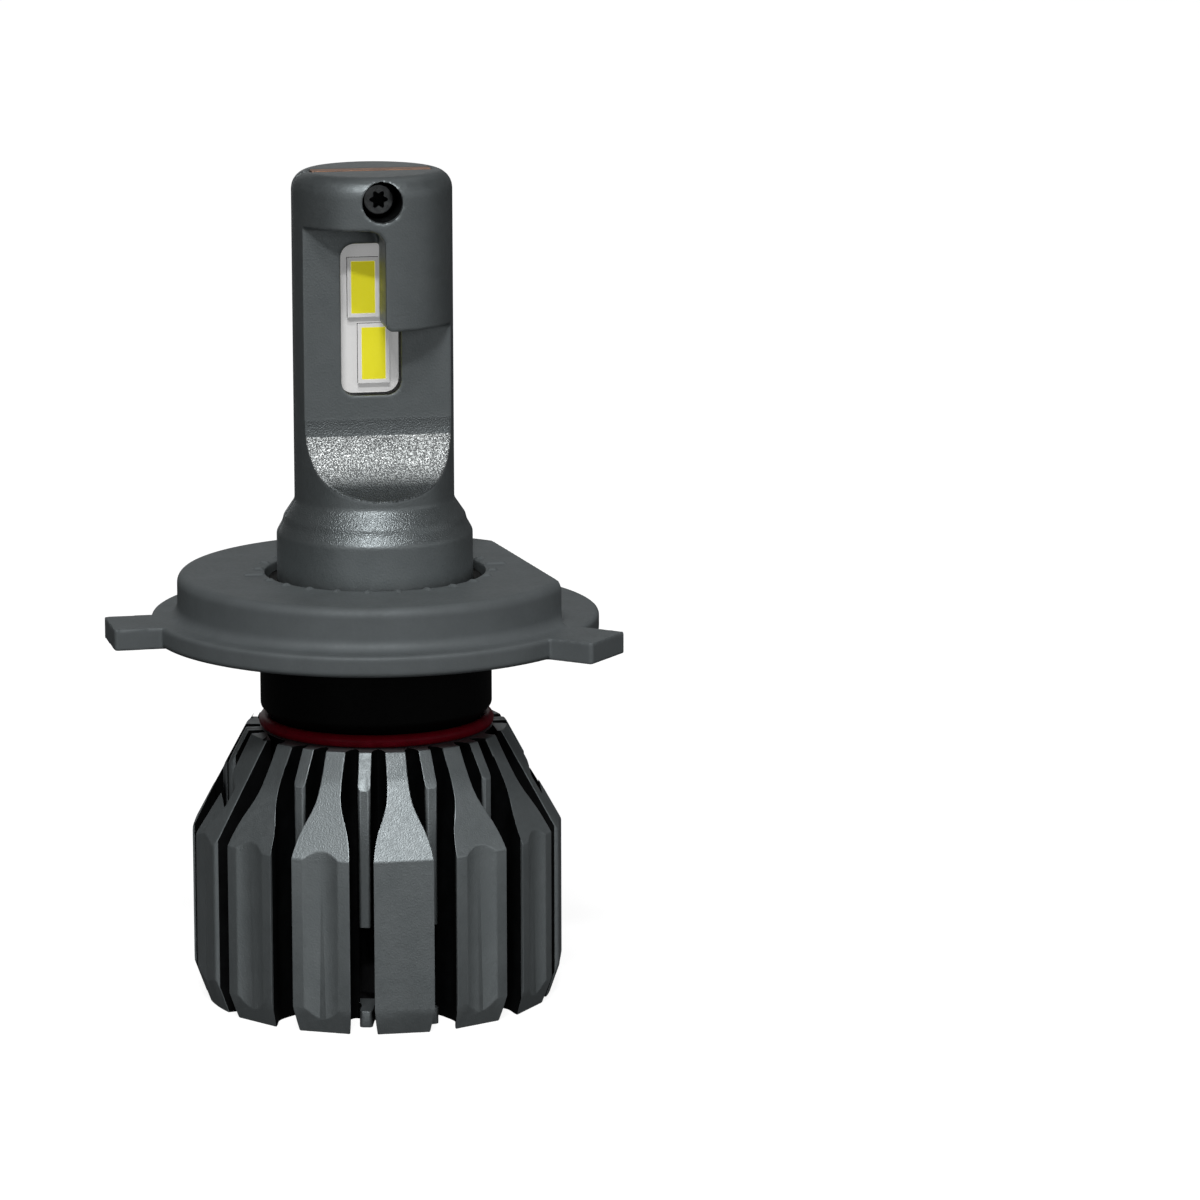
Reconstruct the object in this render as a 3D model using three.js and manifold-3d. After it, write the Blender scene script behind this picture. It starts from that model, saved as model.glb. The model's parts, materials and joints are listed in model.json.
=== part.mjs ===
// LED headlight bulb on a three-lug P43t collar.
// Two die-cast halves (stem, neck and finned heat sink in one) clamp a copper-core LED board.
// A black sleeve closes the neck, the flange collar turns on the sleeve, and a fan sits in the base.
//
// Frame: millimetres, +Z up towards the tip. The origin is the cap's reference centre: on the bulb's
// axis, in the plane of the lugs' upper faces. The halves part on the plane y = 0, the front half is
// on the -Y side and the reference lug points along -X.

import * as THREE from "three";
import { mergeVertices } from "three/addons/utils/BufferGeometryUtils.js";
import Module from "manifold-3d";

const wasm = await Module();
wasm.setup();

// ---------------------------------------------------------------- driving dimensions (mm)

const TIP_Z = 42.7;
const BASE_Z = -37.5;
const FIT_GAP = 0.02; // between faces that rest on each other
const SEAM_GAP = 0.04; // from each half's edge to the parting plane
const RUNNING_GAP = 0.3; // between pieces that turn past each other
const OVERLAP = 0.2; // shapes that make one piece reach this far into each other
const PAST = 1; // cutting shapes reach this far past the material
const OUTSIDE = 30; // beyond the whole bulb in x and y

const STEM_RADIUS = 7.65;
const STEM_TOP_FILLET = 1.75;
const SHOULDER = { topZ: 11.1, ridgeZ: 9.55, ridgeRadius: 8.7, lowZ: 7.95, radius: 9.4 };
const NECK_RADIUS = 8.9;

const FLAT = { y: -3, topZ: 37.75 };
const SHIELD = { bottomZ: 28.2, left: 0.2 };
const SCOOP = { radius: 8.2, z: 19.4 };
const WINDOW = { left: -3.45, right: 2.25, bottomZ: 21.5, topZ: 36, corner: 1.3 };
const SCREW = { z: 40.4, boreRadius: 1.9, headRadius: 1.45, headHeight: 1.7, threadRadius: 0.9 };
const SCREW_HOLE = { half: 1.05, board: 1.1, endY: 5.7 };
const SCREW_SOCKET = { core: 0.54, lobe: 0.24, lobeDistance: 0.52, lobes: 6, depth: 1 };
const SCREW_FLOOR_Y = -2.9; // bottom of the counterbore
const SCREW_TIP_Y = 5.4;

const BOARD = { left: -5.8, right: 5.6, halfThickness: 1, lowZ: -3.2, tailHalfWidth: 4.6 };
const BOARD_LAYER = { thickness: 0.15, gap: 0.01, inset: 0.1 }; // white circuit layer on the copper core
const BOARD_PLAY = { head: 0.1, tail: 0.2, end: 0.5 }; // between the board's edges and the halves
const BOARD_TAIL_TOP_Z = 6;
const LED = { width: 3.05, height: 5.75, thickness: 0.55, rim: 0.37, padHeight: 0.1 };
const LED_PLACES = { low: { x: -1.12, z: 31.65 }, high: { x: -0.17, z: 25.3 } };

const DISC = { radius: 21.5, lowZ: -2.05, edge: 0.35 };
const BOSS = { radius: 19, topZ: 4.05, fillet: 0.6, flatDistance: 15.1, flatAngle: 5 };
const COLLAR_BORE = 10.6;
const COLLAR_CLOCKING = 3; // degrees between the collar's reference lug and the parting plane
const LUG_ROOT = 17; // inside the disc
const LUG_CHAMFER = 0.3;
const LUGS = [
  { angle: 180, width: 6.6, reach: 25.8, round: false },
  { angle: 317, width: 6.3, reach: 25.8, round: false },
  { angle: 47, width: 7, reach: 25.8, round: true },
];
const TICK = { count: 24, inner: 10.9, outer: 11.6, indexOuter: 12.7, width: 0.42, height: 0.22 };

const SLEEVE = {
  radius: 11.15,
  chamfer: 0.5,
  lowZ: -9.85,
  footRadius: 10,
  footZ: -11.05,
  rimRadius: 10.25,
  rimZ: 3.4,
};
const COLLAR_RECESS = { depth: 0.35, radius: SLEEVE.radius + RUNNING_GAP }; // the sleeve's end sits in it
const SLEEVE_TOP_Z = DISC.lowZ + COLLAR_RECESS.depth - RUNNING_GAP;
const NECK_STEP = { stem: 0.5, sleeve: 0.45 }; // height of the cone between neck and shoulder
const SNAP_RING = { z: 0.5, height: 0.7, inner: 9.8, outer: 10.8, mouth: 40 };
const SNAP_RING_PLAY = { side: 0.05, floor: 0.12 }; // in the sleeve's groove
const O_RING = { radius: 10.72, section: 0.6, z: -10.45 };

const SINK_TOP_Z = -11.1;
const SINK_TOP_RADIUS = 12.6;
const SINK_RADIUS = 17.85;
const CONE_LOW_Z = -20.9;
const BASE_CHAMFER = { z: -34.2, radius: 16.7 };
const WALL = { inner: 9.8, outer: 11.2 };
const FIN_ROOT = WALL.outer - RUNNING_GAP; // fins and stubs reach this far into the wall
const FIN_FACE = 17.6; // distance of the fins' outer faces from the axis
const FIN_FACE_Z = { bottom: -34.9, top: -20.5 };
const FIN_PITCH = 26; // degrees within one half
const FINS_EACH_SIDE = 2; // of the middle fin
const FIN_FLANK = [ // [distance from the axis, half width]: a narrow stalk, then a bell
  [FIN_ROOT, 1],
  [13.6, 1],
  [14.8, 1.2],
  [15.6, 1.75],
  [16.25, 2.3],
  [17, 2.72],
  [FIN_FACE, 2.9],
];
const FLUTE = { halfWidth: 1.7, radius: 3.8 };
const STUB = { halfWidth: 0.62, reach: 14.4, corner: 0.3 };
const SEAM_STUB_WIDTH = 0.85;
const FAN_WINDOW = { lowZ: -35.9, topZ: -27.75 }; // where air leaves between the fins
const SEAM_FIN = {
  inner: [11, 1.75],
  outer: [10.2, 5.1],
  slope: 0.23,
  heel: [15.9, 2.1],
  toe: [17.95, 1.2],
  shoulder: [17.2, 3.6],
  tipX: 16.75,
};
const T_SLOT = { inner: 14.35, outer: 15.4, halfWidth: 4.7, lip: 0.25 };
const SINK_ROOF_Z = -13.1;
const POCKET = { halfX: 6, halfY: 3.5, topZ: -0.6 };

const DRIVER = {
  front: -0.98,
  rear: 0.62,
  lowZ: -25.6,
  shoulderZ: -13.7,
  topZ: -4.2,
  halfWidth: 8.2,
  neckHalf: 4.8,
};
const INDUCTOR = { x: -3.4, z: -20, base: 6.4, baseHeight: 0.6, radius: 2.9, height: 3.6 };
const CAPACITOR = { x: 4.2, z: -22, radius: 2.1, height: 4.6 };
const LINK_LEAD = { halfWidth: 0.5, thickness: 0.3, overlap: 2.2 };
const LINK_LEADS = { common: -3, low: 0, high: 3 }; // their places along x
const DRIVER_PARTS = {
  driver_chip: { look: "blackResin", x: 2.6, z: -17, width: 5, height: 4, depth: 1.5, onRear: false },
  rectifier: { look: "blackResin", x: -3.2, z: -17.2, width: 5, height: 4.4, depth: 2, onRear: true },
  switching_transistor: { look: "blackResin", x: 3.4, z: -18, width: 6, height: 5, depth: 2.2, onRear: true },
  output_capacitor: { look: "tan", x: 0, z: -10, width: 3.2, height: 1.7, depth: 1.5, onRear: false },
};

const FAN_SCREW = {
  y: 8.4,
  bossRadius: 1.35,
  threadRadius: 0.6,
  headRadius: 1.05,
  headHeight: 0.7,
  length: 4.2,
  clearHole: 0.7,
  holeDepth: 5,
  slotHalf: 0.15,
  slotDepth: 0.3,
};
const FAN_PLATE = { radius: 9.45, topZ: -26.4, lowZ: -27.3, notch: { x: 7, halfX: 1.2, halfY: 1.4 } };
const FAN_BOSS_LOW_Z = FAN_PLATE.topZ + FIT_GAP;
const BUSH_TUBE = { outer: 1.7, inner: 1.3, lowZ: -33.6 };
const FAN_BOARD = { inner: 1.8, outer: 5.6, topZ: -27.35, thickness: 0.6 };
const STATOR = {
  arms: 4,
  inner: 1.75,
  ring: 0.6,
  outer: 4.7,
  topZ: -29,
  lowZ: -32.4,
  armHalf: 0.5,
  shoe: 0.5,
  shoeAngle: 32,
};
const WINDING = { inner: 2.6, outer: 3.9, halfWidth: 1.1, overhang: 0.5 };
const SHAFT = { radius: 0.6, bearingPlay: 0.03, endPlay: 0.05, topZ: FAN_PLATE.topZ - 0.2 };
const HUB = {
  discRadius: 8.2,
  chamfer: 0.2,
  discLowZ: -37.1,
  discTopZ: -36.2,
  dimple: 1.4,
  dimpleDepth: 0.5,
  wallOuter: 6.3,
  wallInner: 5.7,
  topZ: -28.9,
  shaftBossRadius: 1.6,
  shaftBossHeight: 1.2,
};
const BALANCE_HOLE = { y: 5.6, radius: 0.9, depth: 0.5 };
const MAGNET = { inner: 5, outer: 5.66, topZ: -29.1, lowZ: -34.6 };
const BLADE = { count: 11, reach: 9.35, thickness: 0.45, lowZ: -35.5, topZ: -29.2, sweep: 34 };

const STEM_SEGMENTS = 40;
const SINK_SEGMENTS = 36;
const COLLAR_SEGMENTS = 48;
const FAN_SEGMENTS = 24;
const SMALL_SEGMENTS = 16;
const DRIVER_SEGMENTS = 20;
const SCREW_SEGMENTS = 12;
const LOBE_SEGMENTS = 8;

// ---------------------------------------------------------------- finishes

const finish = (colour, roughness, metalness) => ({ colour, roughness, metalness });
const FINISHES = {
  casting: finish(0x4b4f51, 0.55, 0.6),
  black: finish(0x0c0c0d, 0.5, 0.1),
  blackSteel: finish(0x161617, 0.35, 0.8),
  copper: finish(0x9a5a36, 0.4, 0.9),
  white: finish(0xeceeea, 0.5, 0),
  phosphor: finish(0xefe92b, 0.55, 0),
  redRubber: finish(0xa3122d, 0.45, 0),
  greenBoard: finish(0x1f5a35, 0.5, 0.1),
  blackResin: finish(0x1a1a1c, 0.6, 0),
  ferrite: finish(0x3a3a3d, 0.6, 0.2),
  steel: finish(0xb4b6b8, 0.3, 1),
  brass: finish(0xb58e45, 0.35, 1),
  tan: finish(0xb98a4a, 0.5, 0.1),
};

// ---------------------------------------------------------------- geometry helpers

const radians = THREE.MathUtils.degToRad;

/** A closed three.js geometry as a manifold solid. */
function solid(geometry) {
  const bare = geometry.index ? geometry.clone() : geometry;
  bare.deleteAttribute("normal");
  bare.deleteAttribute("uv");
  const merged = mergeVertices(bare);
  const index = merged.index.array;
  const triangles = [];
  for (let i = 0; i < index.length; i += 3) {
    const [a, b, c] = [index[i], index[i + 1], index[i + 2]];
    if (a !== b && b !== c && c !== a) triangles.push(a, b, c);
  }
  return new wasm.Manifold(new wasm.Mesh({
    numProp: 3,
    vertProperties: new Float32Array(merged.attributes.position.array),
    triVerts: new Uint32Array(triangles),
  }));
}

/** A manifold solid as a three.js geometry. */
function geometryOf(body) {
  const mesh = body.getMesh();
  const geometry = new THREE.BufferGeometry();
  geometry.setAttribute("position", new THREE.BufferAttribute(new Float32Array(mesh.vertProperties), 3));
  geometry.setIndex(new THREE.BufferAttribute(new Uint32Array(mesh.triVerts), 1));
  geometry.computeVertexNormals();
  return geometry;
}

const join = (first, ...others) => others.reduce((sum, next) => sum.add(next), first);
const cut = (body, ...tools) => tools.reduce((left, tool) => left.subtract(tool), body);

/** Box between two corners. */
function box(low, high) {
  const size = high.map((value, i) => value - low[i]);
  const centre = high.map((value, i) => (value + low[i]) / 2);
  return solid(new THREE.BoxGeometry(...size).translate(...centre));
}

/** Solid of revolution about Z; the [r, z] profile runs counter-clockwise. */
function revolve(profile, segments = SMALL_SEGMENTS) {
  const points = profile.map(([r, z]) => new THREE.Vector2(r, z));
  const onAxis = profile[0][0] === 0 && profile.at(-1)[0] === 0;
  if (!onAxis) points.push(points[0].clone());
  return solid(new THREE.LatheGeometry(points, segments).rotateX(Math.PI / 2));
}

/** Ring or disc between two heights. */
function ring(inner, outer, lowZ, highZ, segments = SMALL_SEGMENTS) {
  if (inner === 0) return revolve([[0, lowZ], [outer, lowZ], [outer, highZ], [0, highZ]], segments);
  return revolve([[inner, lowZ], [outer, lowZ], [outer, highZ], [inner, highZ]], segments);
}

/** Plan outline, a list of [x, y], raised between two heights. */
function prism(outline, lowZ, highZ) {
  const shape = new THREE.Shape(outline.map(([x, y]) => new THREE.Vector2(x, y)));
  const geometry = new THREE.ExtrudeGeometry(shape, { depth: highZ - lowZ, bevelEnabled: false });
  return solid(geometry.translate(0, 0, lowZ));
}

/** Shape drawn in x and z, carried from lowY to highY. */
function slab(shape, lowY, highY, curveSegments = 3) {
  const options = { depth: highY - lowY, bevelEnabled: false, curveSegments };
  return solid(new THREE.ExtrudeGeometry(shape, options).rotateX(Math.PI / 2).translate(0, highY, 0));
}

/** Rectangle with rounded corners. */
function roundedRectangle(left, bottom, right, top, radius) {
  const shape = new THREE.Shape();
  shape.moveTo(left + radius, bottom);
  shape.lineTo(right - radius, bottom);
  shape.absarc(right - radius, bottom + radius, radius, -Math.PI / 2, 0);
  shape.lineTo(right, top - radius);
  shape.absarc(right - radius, top - radius, radius, 0, Math.PI / 2);
  shape.lineTo(left + radius, top);
  shape.absarc(left + radius, top - radius, radius, Math.PI / 2, Math.PI);
  shape.lineTo(left, bottom + radius);
  shape.absarc(left + radius, bottom + radius, radius, Math.PI, Math.PI * 1.5);
  return shape;
}

/** Upright cylinder at (x, y). */
function post(x, y, radius, lowZ, highZ, segments = SMALL_SEGMENTS) {
  const geometry = new THREE.CylinderGeometry(radius, radius, highZ - lowZ, segments);
  return solid(geometry.rotateX(Math.PI / 2).translate(x, y, (lowZ + highZ) / 2));
}

/** Cylinder along Y at (x, z). */
function crossPin(x, z, radius, lowY, highY, segments = SMALL_SEGMENTS) {
  const geometry = new THREE.CylinderGeometry(radius, radius, highY - lowY, segments);
  return solid(geometry.translate(x, (lowY + highY) / 2, z));
}

const turned = (body, degrees) => body.rotate([0, 0, degrees]);
const mirrored = (body) => body.mirror([0, 1, 0]);

/** Points of an arc as [x, y], both ends included. */
function arc(centreX, centreY, radius, fromDegrees, toDegrees, steps) {
  return Array.from({ length: steps + 1 }, (_, i) => {
    const angle = radians(fromDegrees + ((toDegrees - fromDegrees) * i) / steps);
    return [centreX + radius * Math.cos(angle), centreY + radius * Math.sin(angle)];
  });
}

// ---------------------------------------------------------------- die-cast halves

/** Plan outline of an ordinary fin that points along +X: a narrow stalk that opens into a bell. */
function finOutline(fluted) {
  const { halfWidth, radius } = FLUTE;
  const halfAngle = THREE.MathUtils.radToDeg(Math.asin(halfWidth / radius));
  const centreX = FIN_FACE + Math.sqrt(radius ** 2 - halfWidth ** 2);
  const face = fluted ? arc(centreX, 0, radius, 180 + halfAngle, 180 - halfAngle, 4) : [];
  const mirrorImage = FIN_FLANK.map(([x, y]) => [x, -y]);
  return [...mirrorImage, ...face, ...FIN_FLANK.toReversed()];
}

/** Plan outline of the stub between two fins. */
function stubOutline() {
  const { halfWidth, reach, corner } = STUB;
  const flank = [[FIN_ROOT, halfWidth], [reach - corner, halfWidth], [reach, halfWidth - corner]];
  return [...flank.map(([x, y]) => [x, -y]), ...flank.toReversed()];
}

/** Plan outline of the fin beside the seam that points along +X, on its +Y side. */
function seamFinOutline() {
  const { inner, outer, slope, toe, heel, shoulder, tipX } = SEAM_FIN;
  const innerY = (x) => inner[1] + slope * (x - inner[0]);
  const outerY = (x) => outer[1] + slope * (x - outer[0]);
  return [
    [FIN_ROOT, innerY(FIN_ROOT)],
    [T_SLOT.inner, innerY(T_SLOT.inner)],
    [T_SLOT.inner, T_SLOT.halfWidth],
    [T_SLOT.outer, T_SLOT.halfWidth],
    [T_SLOT.outer, heel[1] + T_SLOT.lip],
    heel,
    toe,
    shoulder,
    [tipX, outerY(tipX)],
    [FIN_ROOT, outerY(FIN_ROOT)],
  ];
}

/** Ordinary fin along +X, cut off by flat facets above and below its outer face. */
function fin(fluted) {
  const shape = new THREE.Shape();
  shape.moveTo(0, BASE_Z);
  shape.lineTo(BASE_CHAMFER.radius, BASE_Z);
  shape.lineTo(FIN_FACE, FIN_FACE_Z.bottom);
  shape.lineTo(FIN_FACE, FIN_FACE_Z.top);
  shape.lineTo(SINK_TOP_RADIUS, SINK_TOP_Z);
  shape.lineTo(0, SINK_TOP_Z);
  return prism(finOutline(fluted), BASE_Z, SINK_TOP_Z).intersect(slab(shape, -FIN_FACE, FIN_FACE));
}

/** One half's fins, over the whole height of the heat sink. */
function fins() {
  const seamFin = prism(seamFinOutline(), BASE_Z, SINK_TOP_Z);
  const parts = [mirrored(seamFin), turned(seamFin, 180)];
  for (let k = -FINS_EACH_SIDE; k <= FINS_EACH_SIDE; k += 1) {
    parts.push(turned(fin(k !== 0), k * FIN_PITCH - 90));
  }
  return join(...parts);
}

/** The wall that the fins stand on, with the stubs between the fins and beside the seam. */
function wallWithStubs(lowZ, highZ) {
  const seamStub = box([FIN_ROOT, -SEAM_STUB_WIDTH, lowZ], [STUB.reach, -SEAM_GAP, highZ]);
  const wall = ring(WALL.inner, WALL.outer, lowZ, highZ, SINK_SEGMENTS);
  const parts = [wall, seamStub, seamStub.mirror([1, 0, 0])];
  for (let k = -FINS_EACH_SIDE; k < FINS_EACH_SIDE; k += 1) {
    parts.push(turned(prism(stubOutline(), lowZ, highZ), (k + 0.5) * FIN_PITCH - 90));
  }
  return join(...parts);
}

/** Turned envelope of the heat sink: cone, drum and base chamfer. */
function sinkEnvelope() {
  return revolve([
    [0, BASE_Z],
    [BASE_CHAMFER.radius, BASE_Z],
    [SINK_RADIUS, BASE_CHAMFER.z],
    [SINK_RADIUS, CONE_LOW_Z],
    [SINK_TOP_RADIUS, SINK_TOP_Z],
    [0, SINK_TOP_Z],
  ], SINK_SEGMENTS);
}

/** Outside of stem, shoulder and neck. */
function stemEnvelope() {
  const flatRadius = STEM_RADIUS - STEM_TOP_FILLET;
  const tip = arc(flatRadius, TIP_Z - STEM_TOP_FILLET, STEM_TOP_FILLET, 0, 90, 3);
  return revolve([
    [0, SINK_TOP_Z],
    [NECK_RADIUS, SINK_TOP_Z],
    [NECK_RADIUS, SLEEVE_TOP_Z],
    [SHOULDER.radius, SLEEVE_TOP_Z + NECK_STEP.stem],
    [SHOULDER.radius, SHOULDER.lowZ],
    [SHOULDER.ridgeRadius, SHOULDER.ridgeZ],
    [STEM_RADIUS, SHOULDER.topZ],
    ...tip,
    [0, TIP_Z],
  ], STEM_SEGMENTS);
}

/** What is cut from the front of the stem: the flat with its scoop, left of and below the shield. */
function stemRelief() {
  const left = box([-OUTSIDE, -OUTSIDE, SCOOP.z], [SHIELD.left, FLAT.y, FLAT.topZ]);
  const below = box([SHIELD.left - PAST, -OUTSIDE, SCOOP.z], [OUTSIDE, FLAT.y, SHIELD.bottomZ]);
  const cylinder = new THREE.CylinderGeometry(SCOOP.radius, SCOOP.radius, OUTSIDE, STEM_SEGMENTS);
  const scoop = solid(cylinder.rotateZ(Math.PI / 2).translate(0, FLAT.y - SCOOP.radius, SCOOP.z));
  const lowerHalf = box([-OUTSIDE, -OUTSIDE, 0], [OUTSIDE, 0, SCOOP.z + FIT_GAP]);
  return join(left, below, scoop.intersect(lowerHalf));
}

/** The pocket for the driver, the recess for the LED board and the fan's chamber. */
function innerSpace() {
  const { left, right, halfThickness, lowZ, tailHalfWidth } = BOARD;
  const clear = halfThickness + FIT_GAP;
  const { head, tail, end } = BOARD_PLAY;
  const headRecess = box([left - head, -clear, BOARD_TAIL_TOP_Z - head], [right + head, clear, TIP_Z + PAST]);
  const tailRecess = box([-tailHalfWidth - tail, -clear, lowZ - end], [tailHalfWidth + tail, clear, TIP_Z]);
  const { halfX, halfY, topZ } = POCKET;
  const pocket = box([-halfX, -halfY, SINK_ROOF_Z - PAST], [halfX, halfY, topZ]);
  const chamber = ring(0, WALL.inner, BASE_Z - PAST, SINK_ROOF_Z, SINK_SEGMENTS);
  return join(headRecess, tailRecess, pocket, chamber);
}

/** Front half without its screw holes; the rear half is its mirror image. */
function plainHalf() {
  const upperWall = wallWithStubs(FAN_WINDOW.topZ, SINK_TOP_Z);
  const baseRing = wallWithStubs(BASE_Z, FAN_WINDOW.lowZ);
  const wholeSink = join(fins(), upperWall, baseRing).intersect(sinkEnvelope());
  const roof = ring(0, WALL.outer, SINK_ROOF_Z, SINK_TOP_Z, SINK_SEGMENTS);
  const { left, right, bottomZ, topZ, corner } = WINDOW;
  const window = slab(roundedRectangle(left, bottomZ, right, topZ, corner), FLAT.y - FIT_GAP, 0);
  const body = cut(join(stemEnvelope(), wholeSink, roof), stemRelief(), window, innerSpace());
  const frontSide = box([-OUTSIDE, -OUTSIDE, BASE_Z - PAST], [OUTSIDE, -SEAM_GAP, TIP_Z + PAST]);
  const { y, bossRadius, threadRadius, holeDepth } = FAN_SCREW;
  const fanBoss = post(0, -y, bossRadius, FAN_BOSS_LOW_Z, SINK_ROOF_Z + OVERLAP);
  const bossHole = post(0, -y, threadRadius + FIT_GAP, FAN_BOSS_LOW_Z - PAST, FAN_BOSS_LOW_Z + holeDepth);
  return cut(join(body.intersect(frontSide), fanBoss), bossHole);
}

function frontHalf(half) {
  const counterbore = crossPin(0, SCREW.z, SCREW.boreRadius, -OUTSIDE, SCREW_FLOOR_Y);
  const through = crossPin(0, SCREW.z, SCREW_HOLE.half, -OUTSIDE, 0);
  return cut(half, counterbore, through);
}

function rearHalf(half) {
  const threaded = crossPin(0, SCREW.z, SCREW.threadRadius + FIT_GAP, 0, SCREW_HOLE.endY);
  return cut(mirrored(half), threaded);
}

function clampScrew() {
  const { z, headRadius, headHeight, threadRadius } = SCREW;
  const headY = SCREW_FLOOR_Y - headHeight - FIT_GAP;
  const head = crossPin(0, z, headRadius, headY, SCREW_FLOOR_Y - FIT_GAP);
  const shank = crossPin(0, z, threadRadius, SCREW_FLOOR_Y - OVERLAP, SCREW_TIP_Y);
  const { core, lobe, lobeDistance, lobes, depth } = SCREW_SOCKET;
  const pins = arc(0, z, lobeDistance, 0, 360 - 360 / lobes, lobes - 1);
  const holes = pins.map(([x, pinZ]) => crossPin(x, pinZ, lobe, headY - PAST, headY + depth, LOBE_SEGMENTS));
  const socket = crossPin(0, z, core, headY - PAST, headY + depth, SCREW_SEGMENTS);
  return cut(join(head, shank), join(socket, ...holes));
}

// ---------------------------------------------------------------- LED board

function boardOutline(shrink) {
  const { left, right, tailHalfWidth, lowZ } = BOARD;
  const shape = new THREE.Shape();
  shape.moveTo(-tailHalfWidth + shrink, lowZ);
  shape.lineTo(tailHalfWidth - shrink, lowZ);
  shape.lineTo(tailHalfWidth - shrink, BOARD_TAIL_TOP_Z);
  shape.lineTo(right - shrink, BOARD_TAIL_TOP_Z);
  shape.lineTo(right - shrink, TIP_Z - shrink);
  shape.lineTo(left + shrink, TIP_Z - shrink);
  shape.lineTo(left + shrink, BOARD_TAIL_TOP_Z);
  shape.lineTo(-tailHalfWidth + shrink, BOARD_TAIL_TOP_Z);
  return shape;
}

function boardPlate(lowY, highY, shrink) {
  const hole = crossPin(0, SCREW.z, SCREW_HOLE.board, lowY - PAST, highY + PAST);
  return cut(slab(boardOutline(shrink), lowY, highY), hole);
}

/** LED package on the front face: a tray whose floor carries the phosphor pad. */
function ledPackage({ x, z }) {
  const { width, height, thickness, rim } = LED;
  const face = -BOARD.halfThickness;
  const tray = box([x - width / 2, face - thickness, z - height / 2], [x + width / 2, face, z + height / 2]);
  const floorY = face - thickness + LED.padHeight;
  const well = box(
    [x - width / 2 + rim, face - thickness - PAST, z - height / 2 + rim],
    [x + width / 2 - rim, floorY, z + height / 2 - rim],
  );
  return cut(tray, well);
}

function phosphorPad({ x, z }) {
  const { width, height, thickness, rim, padHeight } = LED;
  const top = -BOARD.halfThickness - thickness;
  const inset = rim + FIT_GAP;
  return box(
    [x - width / 2 + inset, top + FIT_GAP, z - height / 2 + inset],
    [x + width / 2 - inset, top + padHeight, z + height / 2 - inset],
  );
}

// ---------------------------------------------------------------- neck: sleeve, rings, collar

function barrelSleeve() {
  const { radius, chamfer, lowZ, footRadius, footZ, rimRadius, rimZ } = SLEEVE;
  const inner = SHOULDER.radius + FIT_GAP;
  const neckInner = NECK_RADIUS + FIT_GAP;
  const groove = SNAP_RING.inner - SNAP_RING_PLAY.floor;
  const grooveLow = SNAP_RING.z - SNAP_RING_PLAY.side;
  const grooveHigh = SNAP_RING.z + SNAP_RING.height + SNAP_RING_PLAY.side;
  return revolve([
    [neckInner, footZ],
    [footRadius, footZ],
    [footRadius, lowZ],
    [radius - chamfer, lowZ],
    [radius, lowZ + chamfer],
    [radius, SLEEVE_TOP_Z],
    [rimRadius, SLEEVE_TOP_Z],
    [rimRadius, grooveLow],
    [groove, grooveLow],
    [groove, grooveHigh],
    [rimRadius, grooveHigh],
    [rimRadius, rimZ],
    [inner, rimZ],
    [inner, SLEEVE_TOP_Z + NECK_STEP.sleeve],
    [neckInner, SLEEVE_TOP_Z],
  ], STEM_SEGMENTS);
}

function snapRing() {
  const { z, height, inner, outer, mouth } = SNAP_RING;
  const start = 90 + mouth / 2;
  const end = 450 - mouth / 2;
  const outline = [...arc(0, 0, outer, start, end, 24), ...arc(0, 0, inner, end, start, 24)];
  return prism(outline, z, z + height);
}

function oRing() {
  const { radius, section, z } = O_RING;
  return revolve(arc(radius, z, section, -180, 135, 7), STEM_SEGMENTS);
}

function lug({ angle, width, reach, round }) {
  const half = width / 2;
  const tip = round
    ? arc(reach - half, 0, half, -90, 90, 8)
    : [
      [reach - LUG_CHAMFER, -half],
      [reach, LUG_CHAMFER - half],
      [reach, half - LUG_CHAMFER],
      [reach - LUG_CHAMFER, half],
    ];
  const outline = [[LUG_ROOT, -half], ...tip, [LUG_ROOT, half]];
  return turned(prism(outline, DISC.lowZ, 0), angle);
}

function collarTick(index) {
  const isIndex = index % (TICK.count / 2) === 0;
  const outer = isIndex ? TICK.indexOuter : TICK.outer;
  const low = [TICK.inner, -TICK.width / 2, BOSS.topZ - OVERLAP];
  const high = [outer, TICK.width / 2, BOSS.topZ + TICK.height];
  return turned(box(low, high), (index * 360) / TICK.count);
}

function flangeCollar() {
  const { radius, lowZ, edge } = DISC;
  const insideBore = COLLAR_BORE - PAST;
  const discProfile = [
    [insideBore, lowZ],
    [radius - edge, lowZ],
    [radius, lowZ + edge],
    [radius, -edge],
    [radius - edge, 0],
    [insideBore, 0],
  ];
  const bossEdge = arc(BOSS.radius - BOSS.fillet, BOSS.topZ - BOSS.fillet, BOSS.fillet, 0, 90, 2);
  const bossProfile = [[0, -OVERLAP], [BOSS.radius, -OVERLAP], ...bossEdge, [0, BOSS.topZ]];
  const boss = revolve(bossProfile, COLLAR_SEGMENTS);
  const flatCut = box([BOSS.flatDistance, -OUTSIDE, 0], [OUTSIDE, OUTSIDE, BOSS.topZ + PAST]);
  const flat = turned(flatCut, BOSS.flatAngle);
  const grooveLow = SNAP_RING.z - RUNNING_GAP;
  const grooveHigh = SNAP_RING.z + SNAP_RING.height + RUNNING_GAP;
  const groove = ring(0, SNAP_RING.outer + RUNNING_GAP, grooveLow, grooveHigh, STEM_SEGMENTS);
  const recess = ring(0, COLLAR_RECESS.radius, lowZ - PAST, lowZ + COLLAR_RECESS.depth, STEM_SEGMENTS);
  const ticks = Array.from({ length: TICK.count }, (_, index) => collarTick(index));
  const blank = join(revolve(discProfile, COLLAR_SEGMENTS), cut(boss, flat), ...LUGS.map(lug), ...ticks);
  const bore = ring(0, COLLAR_BORE, lowZ - PAST, BOSS.topZ + PAST, STEM_SEGMENTS);
  return turned(cut(blank, bore, groove, recess), COLLAR_CLOCKING);
}

// ---------------------------------------------------------------- driver

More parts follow.
